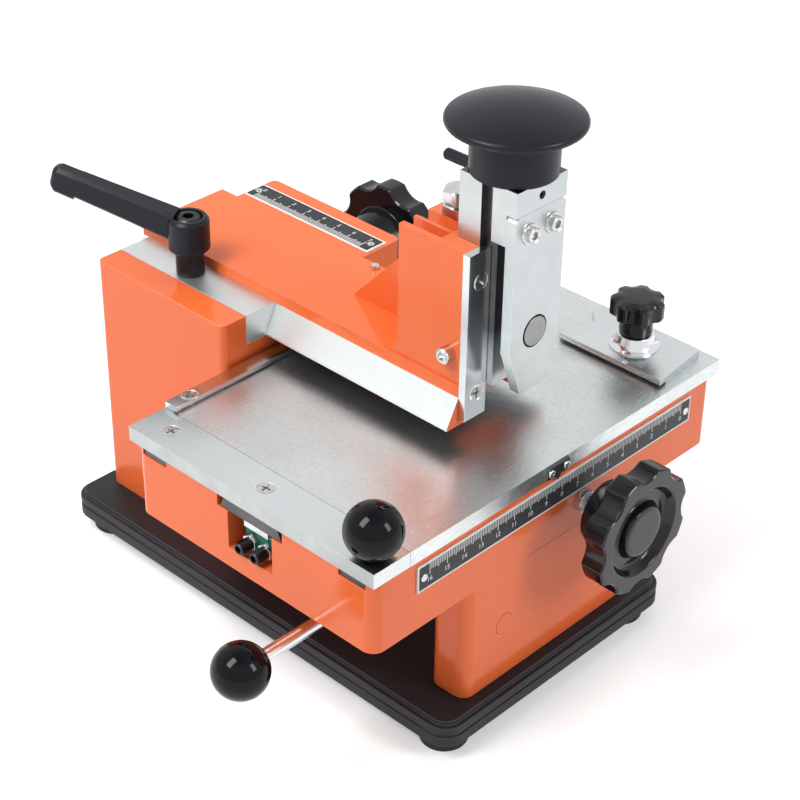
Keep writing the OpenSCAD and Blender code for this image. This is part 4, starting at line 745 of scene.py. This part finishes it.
def laid_out(tree, values, points=()):
    """The layout's result as a plain shape."""
    mesh = bpy.data.meshes.new("layout")
    mesh.from_pydata([tuple(p) for p in points], [], [])
    holder = bpy.data.objects.new("layout", mesh)
    bpy.context.scene.collection.objects.link(holder)
    modifier = holder.modifiers.new("layout", "NODES")
    modifier.node_group = tree
    for item in tree.interface.items_tree:
        if item.item_type == "SOCKET" and item.in_out == "INPUT" and item.name in values:
            modifier[item.identifier] = values[item.name]
    result = evaluated_mesh(holder)
    bm = bmesh.new()
    bm.from_mesh(result)
    bpy.data.objects.remove(holder)
    for used in (mesh, result):
        bpy.data.meshes.remove(used)
    return bm


def cross_outline(reach, half):
    quarter = [(reach, -half), (reach, half), (half, half)]
    points = []
    for k in range(4):
        turn = Matrix.Rotation(k * math.pi / 2, 2)
        points += [turn @ Vector(p) for p in quarter]
    return points


def hex_outline(flat):
    reach = flat / math.sqrt(3)
    return [Vector((reach * math.cos(k * math.pi / 3), reach * math.sin(k * math.pi / 3))) for k in range(6)]


HEAD_STEPS = 40
ANY_TURN = 6.3  # a whole turn, in radians


def recessed_head(outline, depth, narrow, side):
    """A screw with its top at z = 0: a recess in the top, then a side that runs down to the foot.

    The side's corners are (across, up, bend radius), in millimetres.
    """
    bm = bmesh.new()
    path = rounded_path([(*corner, 0.0) for corner in side], steps=3)
    turns = [2 * math.pi * k / HEAD_STEPS for k in range(HEAD_STEPS)]
    rings = [[bm.verts.new((r * MM * math.cos(t), r * MM * math.sin(t), z * MM)) for t in turns] for r, z, _ in path]
    mouth = [bm.verts.new((p.x * MM, p.y * MM, path[0][1] * MM)) for p in outline]
    floor = [bm.verts.new((p.x * narrow * MM, p.y * narrow * MM, (path[0][1] - depth) * MM)) for p in outline]
    loops = []
    for ring in (rings[0], mouth):
        loops += [bm.edges.new((ring[k], ring[(k + 1) % len(ring)])) for k in range(len(ring))]
    bmesh.ops.triangle_fill(bm, use_beauty=True, use_dissolve=False, edges=loops)
    for low, high in [(mouth, floor)] + list(zip(rings, rings[1:])):
        bridge(bm, low, high)
    bm.faces.new(floor)
    bm.faces.new(rings[-1])
    bmesh.ops.recalc_face_normals(bm, faces=bm.faces)
    return bm


def screw_row(node, way, head, turn=ANY_TURN, seed=3, extra=None):
    """The screws of a node: one head shape on the side of each solid that faces the given way."""
    mesh = bpy.data.meshes.new("head")
    head.to_mesh(mesh)
    head.free()
    sample = bpy.data.objects.new("head", mesh)
    bpy.context.scene.collection.objects.link(sample)
    bm = laid_out(HEAD_ROW, {"Head": sample, "Axis": way, "Turn": turn, "Seed": seed, "Finish": FINISH_OF[node]},
                  [side_of(box, way) for box in boxes_of(node)])
    bpy.data.objects.remove(sample)
    bpy.data.meshes.remove(mesh)
    for face in bm.faces:
        face.material_index = 0
    if extra is not None:
        extra(bm)
    finish_node(node, bm)


for node_name, node_object in NODES.items():
    node_object.data.materials.clear()
    node_object.data.materials.append(FINISH_OF[node_name])

place_camera()
light_stage()

# Castings and plates

ARM_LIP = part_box("column_gib")[1].z - 0.8 * MM
ARM_MIDDLE = 1.0 * MM
FLANK_OUT = 22 * MM
DOWNWARD = -0.7  # a face's normal along Z
SIDEWAYS = 0.5  # a face's normal along X
WEB_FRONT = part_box("guide_strips")[0].y - 3.2 * MM
WEB_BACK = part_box("guide_strips")[1].y + 0.3 * MM
RAM_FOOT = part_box("ram")[0].z
# heights and colour of the painted reflection on the ram's foot, over the painted shade of its web
FOOT_REFLECTION_HEIGHTS = {"From Min": RAM_FOOT + 8 * MM, "From Max": RAM_FOOT + 26 * MM}
FOOT_REFLECTION_COLOUR = (0.6, 0.62, 0.62, 1)


def bare_flank(face):
    """The ground dovetail sides are bare steel, the faces below the lip that face down are dark, the rest of the arm is
    painted.
    """
    middle = face.calc_center_median()
    if middle.z < ARM_LIP and face.normal.z < DOWNWARD:
        return 2
    on_flank = abs(face.normal.x) > SIDEWAYS and abs(middle.x - ARM_MIDDLE) > FLANK_OUT
    return 1 if middle.z < ARM_LIP and on_flank else 0


def sheared_end(face):
    """The strip's faces that face left take a darker, rougher zinc."""
    return 1 if face.normal.x < -SIDEWAYS else 0


def oiled_web(face):
    """The ram's narrow web between the guide strips is painted dark steel: painted shade for the shadow in the groove
    between its blocks.
    """
    return 1 if WEB_FRONT < face.calc_center_median().y < WEB_BACK else 0


def wipe_foot(material):
    """Paints the ram's lowest stretch bright, fading into the painted shade above it: a painted reflection, bright at
    the foot and dark higher up.
    """
    tree = material.node_tree
    shader = tree.nodes["Principled BSDF"]
    shaded_colour = shader.inputs["Base Color"].links[0].from_socket
    fade = map_range(tree, height_in(tree, "Object"), FOOT_REFLECTION_HEIGHTS)
    tree.links.new(mix_colour(tree, fade, FOOT_REFLECTION_COLOUR, shaded_colour), shader.inputs["Base Color"])


# paints a bright reflection on the ram's foot
wipe_foot(WEB_SHADE_STEEL)
for node_name, width, *rest in (  # node, edge rounding in millimetres, its steps, finishes and where they go
        ("base_plate", 1.0, 3), ("rubber_feet", 0.8, 3), ("pedestal", 0.8), ("leg_plug", 0.3), ("bed", 0.7),
        ("column", 1.2, 3),
        ("arm_head", 0.45, 2, [ORANGE_PAINT, GROUND_STEEL, DARK_STEEL], bare_flank),
        ("column_gib", 0.5), ("table_plate", 0.25),
        ("table_strip", 0.25, 2, [PLAIN_ZINC, DULL_SIDE_ZINC], sheared_end),
        ("fence_bar", 0.5, 3), ("clamp_plate", 0.5), ("guide_strips", 0.5, 3),
        ("ram", 0.3, 2, [ZINC_PLATE, WEB_SHADE_STEEL], oiled_web),
        ("shaft_bush", 0.4), ("arm_bush", 0.4), ("front_plate", 0.8, 3), ("table_rail", 0.3), ("table_runners", 0.3),
        ("feed_block", 0.5), ("pointer", 0.15), ("stop_peg", 0.3), ("feed_lever", 0.4), ("block_nuts", 0.3),
        ("cross_nut", 0.3), ("index_screw", 0.3)):
    dress(node_name, width * MM, *rest)

# Knobs, wheels and levers, with corners as (across, up, bend radius, lobed share) in millimetres

PALM_TOP = 29.0
PALM_DOME = 67.25
PALM_STEPS = 24
PALM_RIM = 2.0
RIM_ACROSS = 26.25
RIM_UP = 21.5
RIM_STEP = 13  # degrees, from straight down to where the dome begins
RIM_STEPS = 13


def palm_corners():
    """The palm knob from its foot, over the rolled rim, to the middle of its dome."""
    turns = [math.radians(RIM_STEP * k - 90) for k in range(RIM_STEPS)]
    rim = [(RIM_ACROSS + PALM_RIM * math.cos(t), RIM_UP + PALM_RIM * math.sin(t), 0, 0) for t in turns]
    reaches = [rim[-1][0] * (1 - k / PALM_STEPS) for k in range(1, PALM_STEPS + 1)]
    dome = [(r, PALM_TOP - PALM_DOME + math.sqrt(PALM_DOME ** 2 - r * r), 0, 0) for r in reaches]
    return [(0, 0, 0, 0), (18, 0, 0.7, 0), (18, 16.6, 3.4, 0), (22.5, 19.45, 2.0, 0)] + rim + dome


finish_node("palm_knob", turned(palm_corners(), upright(side_of(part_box("palm_knob"), DOWN)), steps=112))

BALL = 12.1
BALL_FLAT = 4.0
FLAT_INSET = 0.5
FLAT_RISE = 0.3
BALL_STEPS = 40


def ball_corners():
    """A ball with a small flat at its foot, from the foot to the top."""
    first = math.asin(BALL_FLAT / BALL)
    turns = [first + (math.pi - first) * k / BALL_STEPS for k in range(BALL_STEPS + 1)]
    foot = BALL * math.cos(first)
    return [(0, 0, 0, 0), (BALL_FLAT - FLAT_INSET, 0, 0, 0)] + [
        (BALL * math.sin(t), foot - BALL * math.cos(t) + FLAT_RISE, 0, 0) for t in turns]


finish_node("table_ball", turned(ball_corners(), upright(side_of(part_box("table_ball"), DOWN))))
finish_node("lever_ball", turned(ball_corners(), facing_left(side_of(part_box("lever_ball"), RIGHT))))

LOBED_SHARP = 40.0
WHEEL = 28.5
WHEEL_LOBES = 8
WHEEL_STEPS = 36
WHEEL_CORNERS = [
    (0, 0, 0, 0), (14.0, 0, 1.6, 0), (16.0, 6.5, 6.0, 0), (17.2, 12.0, 0.8, 0), (27.6, 12.0, 0.4, 1),
    (28.5, 12.9, 0.7, 1), (28.5, 22.3, 0.6, 1), (27.8, 23.0, 0.5, 1), (20.6, 23.0, 1.0, 0), (18.4, 18.6, 2.6, 0),
    (12.7, 18.6, 2.0, 0), (11.4, 22.6, 0.9, 0), (9.8, 22.9, 0.6, 0), (0, 22.9, 0, 0)]


def wheel_shape(place):
    outline = scalloped(WHEEL, WHEEL_LOBES, depth=3.0, softness=0.12)
    return turned(WHEEL_CORNERS, place, WHEEL_LOBES * WHEEL_STEPS, outline, WHEEL)


finish_node("handwheel", wheel_shape(facing_front(side_of(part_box("handwheel"), BACK))), sharp=LOBED_SHARP)
half_lobe = Matrix.Rotation(math.pi / WHEEL_LOBES, 4, "Z")
rear_place = facing_right(side_of(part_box("rear_wheel"), LEFT)) @ half_lobe
finish_node("rear_wheel", wheel_shape(rear_place), sharp=LOBED_SHARP)

KNOB = 12.2
KNOB_LOBES = 7
KNOB_STEPS = 28
finish_node("clamp_knob", turned([
    (0, 0, 0, 0), (7.2, 0, 0.5, 0), (7.5, 1.2, 0.5, 0), (7.5, 7.8, 0.9, 0), (11.0, 8.1, 0.4, 0.9), (12.2, 9.2, 0.8, 1),
    (12.2, 15.9, 0.9, 1), (11.2, 16.9, 0.7, 0.9), (7.6, 17.6, 3.0, 0.35), (0, 18.0, 0, 0)],
    upright(foot_on("knob_stud", "clamp_knob")), KNOB_LOBES * KNOB_STEPS,
    scalloped(KNOB, KNOB_LOBES, depth=1.71, softness=0.3), KNOB), sharp=LOBED_SHARP)
finish_node("cup_washer", turned([
    (3.5, 0, 0, 0), (11.35, 0, 0.2, 0), (11.35, 0.6, 0.3, 0), (9.4, 2.4, 5.0, 0), (8.1, 6.4, 0.4, 0),
    (7.4, 6.6, 0.2, 0), (7.0, 6.2, 0.2, 0), (3.5, 6.2, 0, 0), (3.5, 0, 0, 0)],
    upright(foot_on("knob_stud", "cup_washer")), steps=80))

LEVER_TILT = math.radians(17)
LEVER_TURN = math.radians(119.5)
LEVER_ROOT = 20.8 * MM
LEVER_EDGE = 0.45 * MM
lever_spot = foot_on("lever_stud", "clamp_lever")
lever_bm = turned([
    (4.05, 0, 0, 0), (6.4, 0, 0.5, 0), (6.4, 10.9, 0.3, 0), (7.9, 11.2, 0.4, 0), (9.4, 12.6, 0.9, 0),
    (9.4, 26.4, 1.5, 0), (8.0, 27.8, 0.9, 0), (6.5, 27.8, 0.3, 0), (6.4, 23.5, 0.2, 0), (4.05, 23.5, 0, 0),
    (4.05, 0, 0, 0)],
    upright(lever_spot), steps=80)


def arm_ring(bm, along, down, wide, high, edge):
    """One section of the lever's arm, in millimetres: a bar with cut corners, slanted up from the hub."""
    x, y = high / 2, wide / 2
    ring = [(x, y - edge), (x - edge, y), (edge - x, y), (-x, y - edge), (-x, edge - y), (edge - x, -y),
            (x - edge, -y), (x, edge - y)]
    out = Vector((math.cos(LEVER_TURN), math.sin(LEVER_TURN), 0))
    ahead = out * math.cos(LEVER_TILT) + Vector((0, 0, math.sin(LEVER_TILT)))
    under = out * math.sin(LEVER_TILT) - Vector((0, 0, math.cos(LEVER_TILT)))
    side = Vector(UP).cross(out)
    start = lever_spot + Vector((0, 0, LEVER_ROOT))
    return [bm.verts.new(start + (ahead * along + under * (a + down) + side * b) * MM) for a, b in ring]


arm_rings = [arm_ring(lever_bm, *section) for section in (  # along, down, wide, high, cut corner
    (7.2, 0.0, 9.8, 13.6, 1.7), (12.0, 0.0, 9.8, 13.4, 1.7), (30.0, 0.0, 9.2, 12.5, 1.7), (52.6, 0.0, 8.5, 11.4, 1.6),
    (52.8, 0.75, 8.5, 12.6, 1.6), (62.4, 0.75, 8.3, 12.4, 1.6), (64.2, 0.35, 6.6, 10.4, 1.4),
    (65.2, 0.1, 4.6, 7.8, 1.0))]
for ring_low, ring_high in zip(arm_rings, arm_rings[1:]):
    bridge(lever_bm, ring_low, ring_high)
lever_bm.faces.new(arm_rings[0])
lever_bm.faces.new(arm_rings[-1])
arm_verts = set(v for ring in arm_rings for v in ring)
round_edges(lever_bm, LEVER_EDGE, 2, lambda e: e.verts[0] in arm_verts and e.verts[1] in arm_verts)
finish_node("clamp_lever", lever_bm, sharp=38.0)

# Screws, bolts and nuts

def sunk_screws(node, way, length, seed):
    """Countersunk screws with a cross recess."""
    side = [(3.55, 0.02, 0), (4.0, -0.25, 0), (2.2, -2.0, 0), (2.2, -length, 0)]
    head = recessed_head(cross_outline(reach=2.3, half=0.48), depth=1.3, narrow=0.7, side=side)
    screw_row(node, way, head, seed=seed)


def socket_screws(node, way, flat, depth, side, narrow=0.95, **more):
    """Screws with a hexagonal socket."""
    screw_row(node, way, recessed_head(hex_outline(flat), depth, narrow, side), **more)


def add_washers(bm):
    for box in boxes_of("plate_screws"):
        turned([(3.4, 0, 0, 0), (3.4, -2.1, 0.1, 0), (4.3, -2.1, 0.25, 0), (4.5, -3.0, 0, 0), (2.1, -3.0, 0, 0),
                (2.1, -1.0, 0, 0), (3.4, 0, 0, 0)], facing_front(side_of(box, FRONT)), steps=48, bm=bm)


sunk_screws("table_screws", UP, length=7.5, seed=5)
sunk_screws("strip_screws", FRONT, length=8.3, seed=8)
socket_screws("plate_screws", FRONT, flat=3.4, depth=1.6, narrow=0.9, extra=add_washers, side=[
    (2.35, 0, 0), (2.9, -0.25, 0.5), (3.3, -1.0, 0.4), (3.3, -2.05, 0), (1.98, -2.05, 0), (1.98, -12.0, 0)])
screw_row("pointer_screws", FRONT, recessed_head(cross_outline(reach=1.15, half=0.24), depth=0.5, narrow=0.7, side=[
    (1.0, 0, 0), (1.7, -0.25, 0.5), (1.8, -0.8, 0), (1.08, -0.8, 0), (1.08, -4.4, 0)]))
socket_screws("block_screws", LEFT, flat=3.1, depth=2.6, side=[
    (2.3, 0, 0), (2.8, -0.5, 0.3), (2.8, -6.0, 0), (2.1, -6.0, 0), (2.1, -17.3, 0)])
socket_screws("cross_screw", LEFT, flat=3.2, depth=2.0, side=[
    (2.8, 0, 0), (3.5, -0.5, 0.4), (3.5, -5.0, 0), (2.5, -5.0, 0), (2.5, -54.4, 0)])
socket_screws("ram_set_screw", FRONT, flat=1.7, depth=1.4, side=[(1.5, 0, 0), (1.8, -0.3, 0), (1.8, -7.0, 0)])
socket_screws("lever_stud", UP, flat=4.8, depth=2.8, turn=0.6, side=[
    (4.9, 0, 0), (5.8, -0.8, 0.6), (5.8, -4.0, 0), (4.0, -4.0, 0), (4.0, -35.0, 0)])

BOLT_FLAT = 13.0
BOLT_REACH = BOLT_FLAT / math.sqrt(3)


def hex_form(node, corners):
    """A bolt or nut, its lobed corners drawn in to the hexagon."""
    place = upright(side_of(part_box(node), DOWN))
    finish_node(node, turned(corners, place, outline=hexagonal(BOLT_FLAT), widest=BOLT_REACH))


bolt_tall = (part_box("stop_bolt")[1].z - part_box("stop_bolt")[0].z) / MM
hex_form("stop_bolt", [
    (0, 0, 0, 0), (3.4, 0, 0, 0), (4.0, 0.6, 0, 0), (4.0, bolt_tall - 5.3, 0, 0), (6.1, bolt_tall - 5.3, 0, 0),
    (BOLT_REACH, bolt_tall - 4.9, 0, 1), (BOLT_REACH, bolt_tall - 0.7, 0, 1), (6.1, bolt_tall, 0, 0),
    (0, bolt_tall, 0, 0)])
hex_form("stop_nut", [
    (4.03, 0, 0, 0), (6.1, 0, 0, 0), (BOLT_REACH, 0.6, 0, 1), (BOLT_REACH, 4.4, 0, 1), (6.1, 5.0, 0, 0),
    (4.03, 5.0, 0, 0), (4.03, 0, 0, 0)])

MAGNET_GROOVE = -0.75
finish_node("disc_magnet", turned([
    (0, -3.0, 0, 0), (7.18, -3.0, 0, 0), (7.18, MAGNET_GROOVE, 0, 0), (6.5, MAGNET_GROOVE, 0, 0), (6.5, -0.2, 0.15, 0),
    (6.3, 0, 0.15, 0), (0, 0, 0, 0)], facing_front(side_of(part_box("disc_magnet"), FRONT)), steps=72,
    paint=lambda a, b: 1 if a[1] == b[1] == MAGNET_GROOVE else 0), [MAGNET_STEEL, SOCKET_DARK])

RIVET_CORNERS = [(0, -3.0, 0, 0), (1.0, -3.0, 0, 0), (1.0, -0.75, 0, 0), (1.8, -0.75, 0, 0), (1.75, -0.35, 0.3, 0),
                 (1.0, -0.03, 0.8, 0), (0, 0, 0, 0)]
FRONT_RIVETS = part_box("front_ruler")[0].y + 6 * MM
rivet_bm = bmesh.new()
for rivet in boxes_of("ruler_screws"):
    in_front = rivet[1].y < FRONT_RIVETS
    seat = facing_front(side_of(rivet, FRONT)) if in_front else upright(side_of(rivet, UP))
    turned(RIVET_CORNERS, seat, steps=40, bm=rivet_bm)
finish_node("ruler_screws", rivet_bm)

# Scales, with the sizes of their print in millimetres

CENTIMETRE = 10
RULER_EDGE = 0.15
INK = 0.05
SUNK = -0.02
BORDER = 0.9
FIELD_CORNER = 0.3
PRINT_TOP = 1.4 * INK
FIGURE_SIZE = 3.3
FIGURE_RELIEF = 0.02
FIGURE_LINE = BORDER + 7.7
FRONT_ZERO = 80.85
TOP_ZERO = 107.1
TICKS = {"Step": 1.0 * MM, "Width": 0.36 * MM, "Short": 3.3 * MM, "Middle": 4.2 * MM, "Long": 5.4 * MM,
         "Relief": 0.04 * MM, "Finish": SCALE_WHITE}


def panel(bm, place, low, high):
    """A thin printed field on a scale plate, with cut corners."""
    cut = FIELD_CORNER
    (x0, y0), (x1, y1) = low, high
    outline = [(x0 + cut, y0), (x1 - cut, y0), (x1, y0 + cut), (x1, y1 - cut), (x1 - cut, y1), (x0 + cut, y1),
               (x0, y1 - cut), (x0, y0 + cut)]
    rings = [[bm.verts.new(place @ (Vector((x, y, z)) * MM)) for x, y in outline] for z in (SUNK, INK)]
    bm.faces.new(rings[0][::-1])
    bm.faces.new(rings[1])
    bridge(bm, *rings)


def add_mesh(bm, mesh, place, index):
    start = len(bm.verts)
    bm.from_mesh(mesh)
    bm.verts.ensure_lookup_table()
    new = bm.verts[start:]
    bmesh.ops.transform(bm, matrix=place, verts=new)
    for face in {f for v in new for f in v.link_faces}:
        face.material_index = index


def figures(text):
    """Printed figures as a thin mesh, centred on their own origin."""
    curve = bpy.data.curves.new("figures", "FONT")
    curve.body = text
    curve.size = FIGURE_SIZE * MM
    curve.align_x = "CENTER"
    curve.align_y = "CENTER"
    curve.extrude = FIGURE_RELIEF * MM
    curve.resolution_u = 3
    holder = bpy.data.objects.new("figures", curve)
    bpy.context.scene.collection.objects.link(holder)
    mesh = evaluated_mesh(holder)
    bpy.data.objects.remove(holder)
    bpy.data.curves.remove(curve)
    return mesh


def scale_print(node, corner, along, across, out, length, width, zero, count, upright_figures):
    """Fields, ticks and figures of a centimetre scale, as one piece on the plate's own body."""
    place = placed(corner, along, across, out)
    bm = bmesh.new()
    panel(bm, place, (BORDER, BORDER), (length - BORDER, width - BORDER))
    ticks = laid_out(TICK_ROW, {"Count": count * CENTIMETRE + 1, **TICKS})
    tick_mesh = bpy.data.meshes.new("ticks")
    ticks.to_mesh(tick_mesh)
    ticks.free()
    add_mesh(bm, tick_mesh, place @ Matrix.Translation(Vector((zero, BORDER, PRINT_TOP)) * MM), 1)
    bpy.data.meshes.remove(tick_mesh)
    for number in range(count + 1):
        mesh = figures(str(number))
        spot = Vector((zero + CENTIMETRE * number, FIGURE_LINE, PRINT_TOP)) * MM
        add_mesh(bm, mesh, place @ Matrix.Translation(spot) @ upright_figures, 1)
        bpy.data.meshes.remove(mesh)
    new_piece(node + "_print", BODY_OF[node], bm, [SCALE_BLACK, SCALE_WHITE])


dress("front_ruler", RULER_EDGE * MM)
dress("top_ruler", RULER_EDGE * MM)
front_low, front_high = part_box("front_ruler")
scale_print("front_ruler", (front_high.x, front_low.y, front_high.z), LEFT, DOWN, FRONT,
            (front_high.x - front_low.x) / MM, (front_high.z - front_low.z) / MM, front_high.x / MM - FRONT_ZERO, 16,
            Matrix.Rotation(math.pi, 4, "Z"))
top_low, top_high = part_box("top_ruler")
scale_print("top_ruler", (top_low.x, top_high.y, top_high.z), FRONT, RIGHT, UP,
            (top_high.y - top_low.y) / MM, (top_high.x - top_low.x) / MM, top_high.y / MM - TOP_ZERO, 7,
            Matrix.Identity(4))
